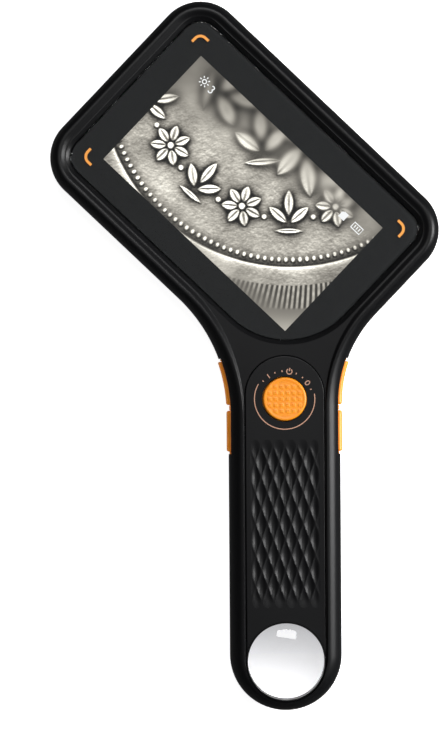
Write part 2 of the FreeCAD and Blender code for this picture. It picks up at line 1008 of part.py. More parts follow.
os.makedirs("parts", exist_ok=True)
for name, shape in build().items():
    shape.exportStep(os.path.join("parts", name + ".step"))
    print(name, len(shape.Solids), round(shape.Volume, 1), shape.isValid())
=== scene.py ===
import math

import bmesh
import bpy
import numpy as np
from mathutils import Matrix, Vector


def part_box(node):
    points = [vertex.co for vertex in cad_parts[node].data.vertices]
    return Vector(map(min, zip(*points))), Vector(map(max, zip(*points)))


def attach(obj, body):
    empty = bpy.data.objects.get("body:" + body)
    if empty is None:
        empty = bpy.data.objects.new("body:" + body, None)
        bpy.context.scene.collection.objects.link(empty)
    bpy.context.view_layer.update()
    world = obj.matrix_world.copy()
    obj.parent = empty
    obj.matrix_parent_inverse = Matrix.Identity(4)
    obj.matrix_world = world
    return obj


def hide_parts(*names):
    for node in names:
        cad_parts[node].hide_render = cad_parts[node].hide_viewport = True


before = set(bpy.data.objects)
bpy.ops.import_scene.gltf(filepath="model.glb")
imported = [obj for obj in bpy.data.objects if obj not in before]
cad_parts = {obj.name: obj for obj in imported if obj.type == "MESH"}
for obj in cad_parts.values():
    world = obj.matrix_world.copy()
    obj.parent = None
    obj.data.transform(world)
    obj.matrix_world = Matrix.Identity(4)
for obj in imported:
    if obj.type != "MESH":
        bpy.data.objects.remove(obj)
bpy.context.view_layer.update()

mm = 0.001
tau = 2 * math.pi
quarter = math.pi / 2


# Places are read back from the frame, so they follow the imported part.
def nodeBox(name):
    low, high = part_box(name)
    return np.array(low), np.array(high)


def middleOf(name):
    low, high = nodeBox(name)
    return (low + high) / 2


body = dict(
    headLength=127.0 * mm, headWidth=86.6 * mm, headCorner=15.8 * mm, headAngle=math.radians(43.8),
    handleWidth=39.9 * mm, handleReach=164.3 * mm, leftNeck=56.8 * mm, rightNeck=45.0 * mm,
    headDraw=3.3 * mm, handleDraw=4.9 * mm, parting=14.0 * mm, crest=23.0 * mm, headBack=6.0 * mm,
    gripReach=78.0 * mm, land=0.5 * mm, dish=0.8 * mm, dishHead=2.3 * mm, dishHandle=0.35 * mm,
    wall=2.0 * mm)
parting, crest = body["parting"], body["crest"]

headCenter = middleOf("lens_hood")[:2]
handleX = middleOf("power_button")[0]
endY = headCenter[1] - body["handleReach"]
loupeCenter = middleOf("loupe_lens")[:2]
buttonCenter = middleOf("power_button")[:2]
alongHead = np.array([math.cos(body["headAngle"]), -math.sin(body["headAngle"])])
acrossHead = np.array([-math.sin(body["headAngle"]), -math.cos(body["headAngle"])])
glassTop = nodeBox("screen_glass")[1][2]
panelTop = nodeBox("grip_panel")[1][2]


# Mesh helpers: every surface is a stack of closed loops, as one array of points.
def makePiece(name, points, faces, bodyName="body"):
    mesh = bpy.data.meshes.new(name)
    mesh.from_pydata(np.asarray(points).reshape(-1, 3).tolist(), [], faces)
    mesh.validate()
    piece = bpy.data.objects.new(name, mesh)
    bpy.context.scene.collection.objects.link(piece)
    if bodyName:
        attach(piece, bodyName)
    return piece


# Quads between loop i and loop i + 1: corner indices (i, j), (i, j + 1), (i + 1, j + 1), (i + 1, j).
def stackFaces(loopCount, count, closedStack=False):
    i, j = np.meshgrid(np.arange(loopCount if closedStack else loopCount - 1), np.arange(count), indexing="ij")
    nextI, nextJ = (i + 1) % loopCount, (j + 1) % count
    quads = np.stack([i * count + j, i * count + nextJ, nextI * count + nextJ, nextI * count + j], axis=-1)
    return quads.reshape(-1, 4).tolist()


# A closed solid from loops that run from one cap to the other.
def loftSolid(name, loops, bodyName="body", caps=True):
    loops = np.asarray(loops)
    loopCount, count = loops.shape[:2]
    faces = stackFaces(loopCount, count, closedStack=not caps)
    if caps:
        faces.append(list(range(count))[::-1])
        faces.append([(loopCount - 1) * count + j for j in range(count)])
    piece = makePiece(name, loops, faces, bodyName)
    outward(piece)
    return piece


# Joins doubled points and turns the faces outwards.
def outward(piece):
    work = bmesh.new()
    work.from_mesh(piece.data)
    bmesh.ops.remove_doubles(work, verts=work.verts, dist=1e-7)
    bmesh.ops.recalc_face_normals(work, faces=work.faces)
    work.to_mesh(piece.data)
    work.free()


def applyModifiers(piece):
    depsgraph = bpy.context.evaluated_depsgraph_get()
    mesh = bpy.data.meshes.new_from_object(piece.evaluated_get(depsgraph))
    piece.modifiers.clear()
    old = piece.data
    piece.data = mesh
    bpy.data.meshes.remove(old)


# Smooth shading below the angle; large flat faces keep their own normals at their rims.
def smooth(piece, angle=32):
    piece.data.shade_smooth()
    piece.data.set_sharp_from_angle(angle=math.radians(angle))
    weight = piece.modifiers.new("weight", "WEIGHTED_NORMAL")
    weight.keep_sharp = True
    weight.weight = 100
    applyModifiers(piece)


def drop(piece):
    bpy.data.objects.remove(piece, do_unlink=True)


# Cuts or joins helper solids, which are removed afterwards.
def carve(piece, tools, operation="DIFFERENCE"):
    for tool in tools:
        modifier = piece.modifiers.new("carve", "BOOLEAN")
        modifier.operation = operation
        modifier.solver = "EXACT"
        modifier.object = tool
        bpy.context.view_layer.update()
        applyModifiers(piece)
        drop(tool)
    return piece


# Points of a turned profile: (r cos a, r sin a, z) about a vertical axis.
def turnedSolid(name, profile, center, bodyName="body", count=96, closed=True):
    profile = np.array(profile) * mm
    angle = np.arange(count) * tau / count
    loops = np.stack([
        center[0] + profile[:, :1] * np.cos(angle),
        center[1] + profile[:, :1] * np.sin(angle),
        np.repeat(profile[:, 1:], count, axis=1)], axis=-1)
    return loftSolid(name, loops, bodyName, caps=not closed)


# Arc points: center + radius (cos a, sin a).
def arcPoints(center, radius, start, finish, count):
    angle = np.linspace(start, finish, count)
    return center + radius * np.stack([np.cos(angle), np.sin(angle)], axis=-1)


# Line points: start + share (finish - start).
def straight(start, finish, count):
    share = np.linspace(0, 1, count)[:, None]
    return start + share * (finish - start)


# The housing's outline at any inset: the same straight runs and arcs, with the same number of points.
def housingOutline(headInset, handleInset):
    halfLength = body["headLength"] / 2 - headInset
    halfWidth = body["headWidth"] / 2 - headInset
    corner = body["headCorner"] - headInset
    half = body["handleWidth"] / 2 - handleInset
    growth = (headInset + handleInset) / 2
    stretches = []

    def neck(side, normal, distance, radius):
        x = handleX + side * (half + radius)
        y = headCenter[1] + (distance + radius - (x - headCenter[0]) * normal[0]) / normal[1]
        return np.array([x, y])

    def cornerAt(lengthSign, widthSign):
        return (headCenter + alongHead * lengthSign * (halfLength - corner)
                + acrossHead * widthSign * (halfWidth - corner))

    rightRadius, leftRadius = body["rightNeck"] + growth, body["leftNeck"] + growth
    right = neck(1, alongHead, halfLength, rightRadius)
    left = neck(-1, acrossHead, halfWidth, leftRadius)
    alongAngle = math.atan2(alongHead[1], alongHead[0])
    stretches.append(straight(np.array([handleX + half, endY]), np.array([handleX + half, right[1]]), 24)[:-1])
    stretches.append(arcPoints(right, rightRadius, math.pi, math.pi + alongAngle, 30))
    for turn, signs in ((0, (1, -1)), (1, (-1, -1)), (2, (-1, 1))):
        start = alongAngle + turn * quarter
        corners = arcPoints(cornerAt(*signs), corner, start, start + quarter, 20)
        stretches.append(straight(stretches[-1][-1], corners[0], 14)[1:-1])
        stretches.append(corners)
    fillet = arcPoints(left, leftRadius, quarter + alongAngle, 0, 34)
    stretches.append(straight(stretches[-1][-1], fillet[0], 14)[1:-1])
    stretches.append(fillet)
    stretches.append(straight(fillet[-1], np.array([handleX - half, endY]), 24)[1:])
    stretches.append(arcPoints(np.array([handleX, endY]), half, math.pi, tau, 40)[1:-1])
    return np.concatenate(stretches)


def level(outline, z):
    return np.concatenate([outline, np.full((len(outline), 1), z)], axis=1)


# Two half circles of one radius, joined by straight runs.
def obround(radius, lowY, highY, count=48):
    x = handleX
    upper = arcPoints(np.array([x, highY]), radius, 0, math.pi, count)
    lower = arcPoints(np.array([x, lowY]), radius, math.pi, tau, count)
    return np.concatenate([upper, lower])


# From the head's own axes, along and across, to the frame.
def toHead(points):
    return headCenter + points[:, :1] * alongHead - points[:, 1:2] * acrossHead


# Rounded rectangle on the head, in its own axes; the corner next to the handle has its own radius.
def headPlate(length, width, radius, lowRadius, center=(0, 0), count=14):
    stretches = []
    quarters = (((1, 1), radius), ((-1, 1), radius), ((-1, -1), radius), ((1, -1), lowRadius))
    for turn, (signs, corner) in enumerate(quarters):
        middle = np.array([
            center[0] + signs[0] * (length / 2 - corner), center[1] + signs[1] * (width / 2 - corner)])
        start = turn * quarter
        stretches.append(arcPoints(middle, corner, start, start + quarter, count * 2))
    return toHead(np.concatenate(stretches))


glass = dict(
    length=110.7 * mm, width=70.5 * mm, corner=7.0 * mm, lowCorner=28.0 * mm, groove=1.8 * mm,
    grooveDepth=1.1 * mm, gap=0.25 * mm, edge=0.35 * mm, lift=0.03 * mm)


def glassOutline(spread):
    return headPlate(glass["length"] + 2 * spread, glass["width"] + 2 * spread,
                     glass["corner"] + spread, glass["lowCorner"] + spread)


# Side of a shell: inset = draw (1 - cos t), height = depth sin t, for t from 0 to a quarter turn.
def sideLoops(direction, depth, skin, count):
    loops = []
    for t in np.linspace(0, quarter, count):
        draw = 1 - math.cos(t)
        z = parting + direction * (depth - skin) * math.sin(t)
        loops.append(level(housingOutline(skin + body["headDraw"] * draw, skin + body["handleDraw"] * draw), z))
    return loops


# Underside of the deep grip: the same rounded side as the housing's, on an obround.
def gripLoops(skin, count):
    loops = []
    for t in np.linspace(0, quarter, count):
        radius = body["handleWidth"] / 2 - skin - body["handleDraw"] * (1 - math.cos(t))
        z = parting - (parting - skin) * math.sin(t)
        loops.append(level(obround(radius, endY, endY + body["gripReach"]), z))
    return loops


# One socket of a material, with operators for the maths nodes.
class Signal:
    def __init__(self, material, socket):
        self.material = material
        self.socket = socket

    def maths(self, operation, *inputs):
        return self.material.node("ShaderNodeMath", dict(operation=operation), inputs)[0]

    def __add__(self, other):
        return self.maths("ADD", self, other)

    def __mul__(self, other):
        return self.maths("MULTIPLY", self, other)

    def __sub__(self, other):
        return self.maths("SUBTRACT", self, other)

    def __rsub__(self, other):
        return self.maths("SUBTRACT", other, self)

    __radd__, __rmul__ = __add__, __mul__

    def __gt__(self, other):
        return self.maths("GREATER_THAN", self, other)


# One material; node() makes any node from its type, its settings and its inputs.
class Finish:
    def __init__(self, name):
        self.material = bpy.data.materials.new(name)
        self.material.use_nodes = True
        self.tree = self.material.node_tree
        self.tree.nodes.clear()

    def node(self, kind, settings=None, inputs=None):
        made = self.tree.nodes.new(kind)
        for key, value in (settings or {}).items():
            if key == "stops":
                ramp = made.color_ramp
                while len(ramp.elements) < len(value):
                    ramp.elements.new(0.5)
                for element, (place, colour) in zip(ramp.elements, value):
                    element.position = place
                    element.color = colour
            else:
                setattr(made, key, value)
        pairs = inputs.items() if isinstance(inputs, dict) else enumerate(inputs or [])
        for key, value in pairs:
            if isinstance(value, Signal):
                self.tree.links.new(value.socket, made.inputs[key])
            elif value is not None:
                made.inputs[key].default_value = value
        return [Signal(self, socket) for socket in made.outputs if socket.enabled]

    def place(self, scale=(1, 1, 1)):
        spot = self.node("ShaderNodeTexCoord")[3]
        return self.node("ShaderNodeMapping", None, {"Vector": spot, "Scale": scale})[0]

    def noise(self, vector, scale, detail=2.0, roughness=0.5):
        return self.node("ShaderNodeTexNoise", None, {
            "Vector": vector, "Scale": scale, "Detail": detail, "Roughness": roughness})[0]

    def mix(self, factor, first, second):
        inputs = {0: factor, 6: first, 7: second}  # the colour sockets of a mix node
        self.node("ShaderNodeMix", dict(data_type="RGBA"), inputs)
        return Signal(self, self.tree.nodes[-1].outputs[2])

    def bump(self, height, strength, distance):
        return self.node("ShaderNodeBump", None, {
            "Height": height, "Strength": strength, "Distance": distance})[0]

    def surface(self, **inputs):
        names = {key.replace("_", " "): value for key, value in inputs.items()}
        shader = self.node("ShaderNodeBsdfPrincipled", None, names)[0]
        self.node("ShaderNodeOutputMaterial", None, [shader])
        return self.material

    def output(self, shader):
        self.node("ShaderNodeOutputMaterial", None, [shader])
        return self.material


def tint(colour, factor):
    return tuple(c * factor for c in colour) + (1,)


# Moulded plastic: fine grain, broad uneven gloss and a faint change of colour.
def mouldedPlastic(name, colour, rough, grain=0.000012, specular=0.5):
    finish = Finish(name)
    spot = finish.place()
    fine = finish.noise(spot, 4200, 3)
    broad = finish.noise(spot, 28, 3)
    shade = finish.mix(broad * 0.6, tint(colour, 0.82), tint(colour, 1.22))
    return finish.surface(
        Base_Color=shade, Roughness=broad * 0.10 + (rough - 0.05),
        Normal=finish.bump(fine, 0.55, grain), Specular_IOR_Level=specular)


# Soft rubber: even colour, fine grain, a little light below the surface.
def orangeRubber(name, colour):
    finish = Finish(name)
    spot = finish.place()
    fine = finish.noise(spot, 3000, 2)
    broad = finish.noise(spot, 90, 2)
    shade = finish.mix(broad, tint(colour, 0.9), tint(colour, 1.08))
    return finish.surface(
        Base_Color=shade, Roughness=broad * 0.12 + 0.36, Normal=finish.bump(fine, 0.35, 0.00001),
        Subsurface_Weight=0.12, Subsurface_Scale=0.001, Subsurface_Radius=(1.0, 0.35, 0.1))


# Drawn metal: streaks along one axis in colour, gloss and relief.
def metalFinish(name, colour, rough, scale=900):
    finish = Finish(name)
    spot = finish.place((1, 1, 0.15))
    streak = finish.noise(spot, scale, 3)
    return finish.surface(
        Base_Color=finish.mix(streak, tint(colour, 0.85), tint(colour, 1)),
        Metallic=1.0, Roughness=streak * 0.18 + rough, Normal=finish.bump(streak, 0.25, 0.00001))


# Printed board: green with raised copper cells.
def circuitFinish(name):
    finish = Finish(name)
    spot = finish.place()
    tracks = finish.node("ShaderNodeTexVoronoi", dict(feature="DISTANCE_TO_EDGE"), {
        "Vector": spot, "Scale": 380})[0]
    copper = tracks > 0.06
    return finish.surface(
        Base_Color=finish.mix(copper, (0.012, 0.09, 0.035, 1), (0.02, 0.17, 0.06, 1)), Roughness=0.32,
        Normal=finish.bump(copper, 0.4, 0.00003))


def clearFinish(name, tone, rough=0.02, ior=1.49):
    finish = Finish(name)
    spot = finish.place()
    haze = finish.noise(spot, 60, 2)
    return finish.surface(
        Base_Color=tone, Roughness=haze * 0.02 + rough, Transmission_Weight=1.0, IOR=ior)


# Cover glass: it lets the print and the picture through unbent and adds a faint gloss.
def coverFinish(name):
    finish = Finish(name)
    clear = finish.node("ShaderNodeBsdfTransparent", None, {"Color": (0.97, 0.98, 0.98, 1)})[0]
    spot = finish.place()
    smear = finish.noise(spot, 35, 2)
    gloss = finish.node("ShaderNodeBsdfGlossy", None, {
        "Roughness": smear * 0.02 + 0.02, "Color": (1, 1, 1, 1)})[0]
    edge = finish.node("ShaderNodeFresnel", None, {"IOR": 1.45})[0]
    return finish.output(finish.node("ShaderNodeMixShader", None, [edge * 0.9, clear, gloss])[0])


# Flat printed ink: an even tone with a faint broad variation.
def printFinish(name, colour):
    finish = Finish(name)
    broad = finish.noise(finish.place(), 14, 2)
    shade = finish.mix(broad, tint(colour, 0.94), tint(colour, 1.06))
    return finish.surface(Base_Color=shade, Roughness=0.6, Specular_IOR_Level=0.08)


print("stage: finishes")
blackPlastic = mouldedPlastic("shellBlack", (0.0036, 0.0037, 0.0042), 0.34, 0.000004, 0.2)
panelPlastic = mouldedPlastic("panelBlack", (0.0038, 0.0039, 0.0045), 0.34, 0.000003, 0.23)
hoodPlastic = mouldedPlastic("hoodBlack", (0.008, 0.008, 0.008), 0.5, 0.000008, 0.3)
orange = orangeRubber("keyOrange", (0.90, 0.285, 0.006))
steelFinish = metalFinish("screwSteel", (0.52, 0.53, 0.55), 0.28)
portFinish = metalFinish("portSteel", (0.62, 0.63, 0.65), 0.24)
foilFinish = metalFinish("batteryFoil", (0.6, 0.61, 0.63), 0.35, 200)
barrelFinish = metalFinish("barrelBlack", (0.03, 0.03, 0.035), 0.35)
circuitGreen = circuitFinish("circuitGreen")
acrylic = clearFinish("clearAcrylic", (0.97, 0.98, 0.985, 1))
lensGlass = clearFinish("lensGlass", (0.9, 0.93, 0.97, 1), 0.01, 1.6)
coverGlass = coverFinish("coverGlass")


# Magnifier: two tints of clear refraction, mixed by height over its face. The grey tint grows towards the top
# and is painted shade for the bore's shadow seen through the lens. A gloss lies on the outer surfaces only.
def magnifierFinish(name):
    finish = Finish(name)
    spot = finish.place()
    high = finish.node("ShaderNodeSeparateXYZ", None, {"Vector": spot})[1]
    span, middle, bend = 24 * mm, 0.45, 1.49
    # painted shade: the share of the grey refraction tint grows towards the top of the lens
    share = high * (1 / span) + (middle - loupeCenter[1] / span)
    clear, paintedShade = [
        finish.node("ShaderNodeBsdfRefraction", None, {"Color": tone, "IOR": bend, "Roughness": 0.0})[0]
        for tone in ((0.99, 0.99, 0.995, 1), (0.72, 0.72, 0.73, 1))]
    inner = finish.node("ShaderNodeMixShader", None, [share, clear, paintedShade])[0]
    backFace = finish.node("ShaderNodeNewGeometry")[6]
    edge = finish.node("ShaderNodeFresnel", None, {"IOR": bend})[0]
    gloss = finish.node("ShaderNodeBsdfGlossy", None, {"Roughness": 0.015, "Color": (1, 1, 1, 1)})[0]
    return finish.output(finish.node("ShaderNodeMixShader", None, [edge * (1 - backFace), inner, gloss])[0])


magnifierGlass = magnifierFinish("magnifierGlass")
printBlack = printFinish("printBlack", (0.0155, 0.0162, 0.0175))
chipBlack = mouldedPlastic("chipBlack", (0.02, 0.02, 0.025), 0.3)
foamFinish = mouldedPlastic("foamGrey", (0.05, 0.05, 0.05), 0.9, 0.0001)
lampFinish = mouldedPlastic("lampYellow", (0.85, 0.75, 0.35), 0.4)
backlightFinish = mouldedPlastic("backlightWhite", (0.8, 0.8, 0.82), 0.5)

finishGroups = (
    (printBlack, "screen_border display_panel"),
    (backlightFinish, "backlight"),
    (circuitGreen, "power_board led_board main_board left_key_board right_key_board"),
    (chipBlack, "power_switch lens_holder image_sensor left_key_switches right_key_switches"),
    (lampFinish, "light_emitters"),
    (barrelFinish, "lens_barrel"),
    (lensGlass, "camera_lens"),
    (portFinish, "usb_socket card_socket"),
    (foilFinish, "battery"),
    (foamFinish, "battery_pad"),
    (steelFinish, "housing_screws board_screws"),
    (blackPlastic, "front_housing rear_housing"),
    (coverGlass, "screen_glass"),
    (panelPlastic, "grip_panel loupe_ring"),
    (orange, "power_button left_key_strip right_key_strip left_upper_key left_lower_key right_upper_key "
     "right_lower_key"),
    (acrylic, "loupe_lens light_window"),
    (hoodPlastic, "lens_hood"),
)
nodeFinishes = {name: finish for finish, names in finishGroups for name in names.split()}


def dress(thing, material):
    thing.data.materials.clear()
    thing.data.materials.append(material)


def polish(piece, material, angle=32):
    smooth(piece, angle)
    dress(piece, material)


for name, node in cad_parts.items():
    if not node.material_slots:
        node.data.materials.append(nodeFinishes[name])
    for materialSlot in node.material_slots:
        materialSlot.material = nodeFinishes[name]

keys = dict(
    upper=(89.0 * mm, 104.4 * mm), lower=(72.4 * mm, 86.9 * mm), halfHeight=4.0 * mm, proud=0.7 * mm,
    gap=0.25 * mm, margin=0.8 * mm, recess=0.35 * mm, back=4.4 * mm, stripBack=3.6 * mm, round=0.7 * mm,
    stripRound=0.3 * mm, slack=0.1 * mm)


# x of the housing's side at a height y up the handle: straight, then on the neck's arc.
def sideX(side, y, inset):
    half = body["handleWidth"] / 2
    radius = body["rightNeck"] if side > 0 else body["leftNeck"]
    normal = alongHead if side > 0 else acrossHead
    distance = (body["headLength"] if side > 0 else body["headWidth"]) / 2
    centerX = handleX + side * (half + radius)
    centerY = headCenter[1] + (distance + radius - (centerX - headCenter[0]) * normal[0]) / normal[1]
    rise = np.clip(y - centerY, 0, None)
    return centerX - side * np.sqrt((radius + inset) ** 2 - rise ** 2)


# How far the rounded side has drawn in at a height above or below the parting line.
def drawAt(offset):
    depth = np.where(offset > 0, crest - parting, parting)
    share = np.clip(np.abs(offset) / depth, 0, 0.999)
    return body["handleDraw"] * (1 - np.sqrt(1 - share ** 2))


# A band that follows the side: a rounded section in (inset, z), shrunk towards both ends.
def sideBand(name, side, low, high, halfHeight, front, back, corner, bodyName, slot):
    count, section = 44, 15
    ends = np.sin(np.linspace(-1, 1, count) * quarter)
    y = (low + high) / 2 + ends * (high - low) / 2
    reach = np.clip(np.minimum(y - low, high - y) / corner, 0, 1)
    shrink = corner * (1 - np.sqrt(1 - (1 - reach) ** 2))
    z = halfHeight * np.sin(np.linspace(-1, 1, section) * quarter)
    edge = np.clip((halfHeight - np.abs(z)) / corner, 0, 1)
    rounded = corner * (1 - np.sqrt(1 - (1 - edge) ** 2))
    loops = []
    for place, less in zip(y, shrink):
        height = z * (1 - less / halfHeight)
        outer = sideX(side, endY + place, front + drawAt(height) + rounded + less)
        inner = sideX(side, endY + place, np.full(section, back))
        points = np.concatenate([np.stack([outer, height], 1), np.stack([inner, height], 1)[::-1]])
        loops.append(np.insert(points + [0, parting], 1, endY + place, axis=1))
    return loftSolid(name, loops, bodyName)


# A box from two corners; on the head it is measured in the head's own axes.
def boxSolid(name, low, high, onHead=False):
    corners = np.array([[low[0], low[1]], [high[0], low[1]], [high[0], high[1]], [low[0], high[1]]])
    if onHead:
        corners = toHead(corners)
    return loftSolid(name, [level(corners, low[2]), level(corners, high[2])], None)


def cylinderSolid(name, center, radius, low, high, count=96):
    profile = [(radius / mm, low / mm), (radius / mm, high / mm)]
    return turnedSolid(name, profile, center, None, count, False)


# A box through one side of the handle, from a low to a high place up the handle.
def sideBox(name, side, low, high, half):
    near, far = sorted(handleX + side * reach * mm for reach in (10, 30))
    return boxSolid(name, (near, endY + low, parting - half), (far, endY + high, parting + half))


# The opening for a pair of keys: its low and high place and half its height.
def keySlot():
    spare = keys["gap"] + keys["margin"]
    return keys["lower"][0] - spare, keys["upper"][1] + spare, keys["halfHeight"] + spare


def stripCutters():
    return [sideBox("stripCutter", side, *keySlot()) for side in (-1, 1)]


shell = dict(seam=0.12 * mm, loupeSeat=14.3 * mm, loupeBore=13.6 * mm, loupeShelf=12.6 * mm, sleeve=16.1 * mm,
             hoodHole=20.7 * mm, screwHole=2.6 * mm, screwFloor=8.4 * mm, boss=4.0 * mm,
             screwAlong=53.0 * mm, screwAcross=33.5 * mm, screwSpread=9.0 * mm, screwPlace=19.0 * mm,
             panelPocket=14.3 * mm, panelFloor=20.6 * mm, panelTop=92.4 * mm)


# Four screws in the head's corners, two in the handle's end.
def screwPlaces():
    places = [headCenter + alongHead * a * shell["screwAlong"] + acrossHead * b * shell["screwAcross"]
              for a in (-1, 1) for b in (-1, 1)]
    y = endY + shell["screwPlace"]
    return places + [np.array([handleX + side * shell["screwSpread"], y]) for side in (-1, 1)]


# Front shell: rounded side, raised crest, dished face, then pockets cut from above.
def frontShell():
    depth = crest - parting
    seam = shell["seam"]
    loops = [level(housingOutline(seam, seam), parting)]
    sides = sideLoops(1, depth, 0, 16)
    sides[0] = level(housingOutline(0, 0), parting + seam)
    loops += sides
    for share in np.linspace(0, 1, 7):
        ease = share * share * (3 - 2 * share)
        headInset = body["headDraw"] + body["land"] + body["dishHead"] * share
        handleInset = body["handleDraw"] + body["land"] * 0.5 + body["dishHandle"] * share
        loops.append(level(housingOutline(headInset, handleInset), crest - body["dish"] * ease))
    piece = loftSolid("frontShell", loops, "body")
    low = parting - 1 * mm
    cavity = [level(housingOutline(body["wall"], body["wall"]), low)] + sideLoops(1, depth, body["wall"], 8)
    cavity = loftSolid("cavity", cavity, None)
    carve(cavity, [cylinderSolid("sleeve", loupeCenter, shell["sleeve"], low - mm, crest)])
    face = crest - body["dish"]
    top = crest + 2 * mm
    seat = nodeBox("screen_border")[0][2]
    pocket = loftSolid("pocket", [
        level(glassOutline(glass["gap"]), seat), level(glassOutline(glass["gap"]), face - glass["grooveDepth"]),
        level(glassOutline(glass["groove"] * 0.55), face - glass["grooveDepth"] * 0.55),
        level(glassOutline(glass["groove"] * 0.9), face - glass["grooveDepth"] * 0.14),
        level(glassOutline(glass["groove"]), face), level(glassOutline(glass["groove"]), top)], None)
    panel = loftSolid("panelCutter", [
        level(obround(shell["panelPocket"], loupeCenter[1], endY + shell["panelTop"]), z)
        for z in (shell["panelFloor"], top)], None)
    bore = cylinderSolid("bore", loupeCenter, shell["loupeSeat"], low, top)
    carve(piece, [cavity, pocket, panel, bore, *stripCutters(), portCutter(), slotCutter()])
    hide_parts("front_housing")
    polish(piece, blackPlastic)
    return piece


port = dict(width=8.94 * mm, height=3.26 * mm, shift=-10.0 * mm, gap=0.3 * mm, cardWidth=12.8 * mm,
            cardHeight=1.0 * mm, cardShift=10.0 * mm)


# Round-ended mouth of the charging socket, through the short side of the head.
def portCutter():
    center = middleOf("usb_socket")[2]
    radius = port["height"] / 2 + port["gap"]
    flat = (port["width"] - port["height"]) / 2
    angle = np.linspace(0, math.pi, 16)
    upper = np.stack([flat + radius * np.sin(angle), -radius * np.cos(angle)], 1)
    lower = np.stack([-flat - radius * np.sin(angle), radius * np.cos(angle)], 1)
    section = np.concatenate([upper, lower])
    loops = []
    for x in (-body["headLength"] / 2 - 1 * mm, -body["headLength"] / 2 + 4 * mm):
        plane = toHead(np.stack([np.full(len(section), x), port["shift"] + section[:, 0]], 1))
        loops.append(np.column_stack([plane, center + section[:, 1]]))
    return loftSolid("portCutter", loops, None)


# Mouth of the memory card socket, a plain slot beside the charging socket.
def slotCutter():
    center = middleOf("card_socket")[2]
    half = port["cardHeight"] / 2
    x = -body["headLength"] / 2
    return boxSolid("slotCutter", (x - 1 * mm, port["cardShift"] - port["cardWidth"] / 2, center - half),
                    (x + 4 * mm, port["cardShift"] + port["cardWidth"] / 2, center + half), onHead=True)


# Back shell: the head's shallow back joined to the deeper grip, then the bores.
def backShell():
    seam = shell["seam"]
    depth = parting - body["headBack"]
    sides = sideLoops(-1, depth, 0, 14)
    sides[0] = level(housingOutline(0, 0), parting - seam)
    first = [level(housingOutline(seam, seam), parting)]
    piece = loftSolid("backShell", first + sides, "body")
    grip = gripLoops(0, 18)
    high = endY + body["gripReach"]
    half = body["handleWidth"] / 2
    grip[0] = level(obround(half, endY, high), parting - seam)
    grip = loftSolid("grip", [level(obround(half - seam, endY, high), parting)] + grip, None)
    carve(piece, [grip], "UNION")
    top = parting + 1 * mm
    wall = body["wall"]
    cavity = [level(housingOutline(wall, wall), top)] + sideLoops(-1, depth, wall, 8)
    cavity = loftSolid("cavity", cavity, None)
    inner = loftSolid("inner", [level(obround(half - wall, endY, high), top)] + gripLoops(wall, 8), None)
    carve(cavity, [inner], "UNION")
    posts = [cylinderSolid("post", place, shell["boss"], -mm, top + mm, 40) for place in screwPlaces()]
    carve(cavity, [cylinderSolid("sleeve", loupeCenter, shell["sleeve"], -mm, top + mm)] + posts)
    holes = [cylinderSolid("hole", place, shell["screwHole"], -mm, shell["screwFloor"], 40)
             for place in screwPlaces()]
    carve(piece, [
        cavity, cylinderSolid("bore", loupeCenter, shell["loupeBore"], -mm, top),
        cylinderSolid("seat", loupeCenter, shell["loupeSeat"], shell["loupeShelf"], top),
        cylinderSolid("hood", headCenter, shell["hoodHole"], -mm, body["headBack"] + wall + 0.5 * mm),
        *holes, *stripCutters()])
    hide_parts("rear_housing")
    polish(piece, blackPlastic)
    return piece


frontShell()
backShell()
print("stage: housing")


# A quarter circle from side to top, as pairs (edge (1 - cos t), edge (1 - sin t)): inset and drop.
def roundedEdge(edge, count):
    return [(edge * (1 - math.cos(t)), edge * (1 - math.sin(t))) for t in np.linspace(0, quarter, count)]


# Cover glass with a rounded edge.
def glassPlate():
    base = nodeBox("screen_glass")[0][2] + glass["lift"]
    loops = [level(glassOutline(0), base)]
    for inset, drop in roundedEdge(glass["edge"], 6):
        loops.append(level(glassOutline(-inset), glassTop - drop))
    piece = loftSolid("coverGlass", loops, "body")
    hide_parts("screen_glass")
    polish(piece, coverGlass)


glassPlate()


# A flat line of some width that follows a path, as a thin closed solid.
def ribbon(points, width, low, high):
    points = np.asarray(points, float)
    along = np.gradient(points, axis=0)
    along /= np.linalg.norm(along, axis=1, keepdims=True)
    across = np.stack([-along[:, 1], along[:, 0]], 1) * width / 2
    left, right = points + across, points - across
    loops = np.stack([level(left, low), level(right, low), level(right, high), level(left, high)], axis=1)
    return loops


# Several ribbons as one piece.
def ribbonPiece(name, paths, width, low, high, bodyName, material):
    points, faces = [], []
    for path in paths:
        loops = ribbon(path, width, low, high)
        start = len(points)
        count = len(loops)
        for face in stackFaces(count, 4):
            faces.append([start + index for index in face])
        faces.append([start + k for k in (3, 2, 1, 0)])
        faces.append([start + (count - 1) * 4 + k for k in range(4)])
        points += loops.reshape(-1, 3).tolist()
    piece = makePiece(name, points, faces, bodyName)
    outward(piece)
    dress(piece, material)
    return piece


marks = dict(inset=5.75 * mm, arm=3.1 * mm, corner=2.6 * mm, width=0.95 * mm, thickness=0.05 * mm)


# Rounded angle marks near three corners of the glass: two short arms joined by an arc.
def cornerMarks():
    paths = []
    for lengthSign, widthSign in ((-1, 1), (-1, -1), (1, 1)):
        radius = marks["corner"]
        x = glass["length"] / 2 - marks["inset"] + (1 - math.sqrt(0.5)) * radius
        y = glass["width"] / 2 - marks["inset"] + (1 - math.sqrt(0.5)) * radius
        turn = arcPoints(np.array([x - radius, y - radius]), radius, 0, quarter, 14)
        reach = marks["arm"] - radius * 0.6
        start = straight(np.array([x, y - radius - reach]), turn[0], 4)[:-1]
        finish = straight(turn[-1], np.array([x - radius - reach, y]), 4)[1:]
        path = np.concatenate([start, turn, finish]) * np.array([lengthSign, widthSign])
        paths.append(toHead(path))
    ribbonPiece("cornerMarks", paths, marks["width"], glassTop, glassTop + marks["thickness"], "body",
                markFinish)


markFinish = mouldedPlastic("markOrange", (0.93, 0.36, 0.05), 0.5, 0.000002)
cornerMarks()
print("stage: glass and marks")


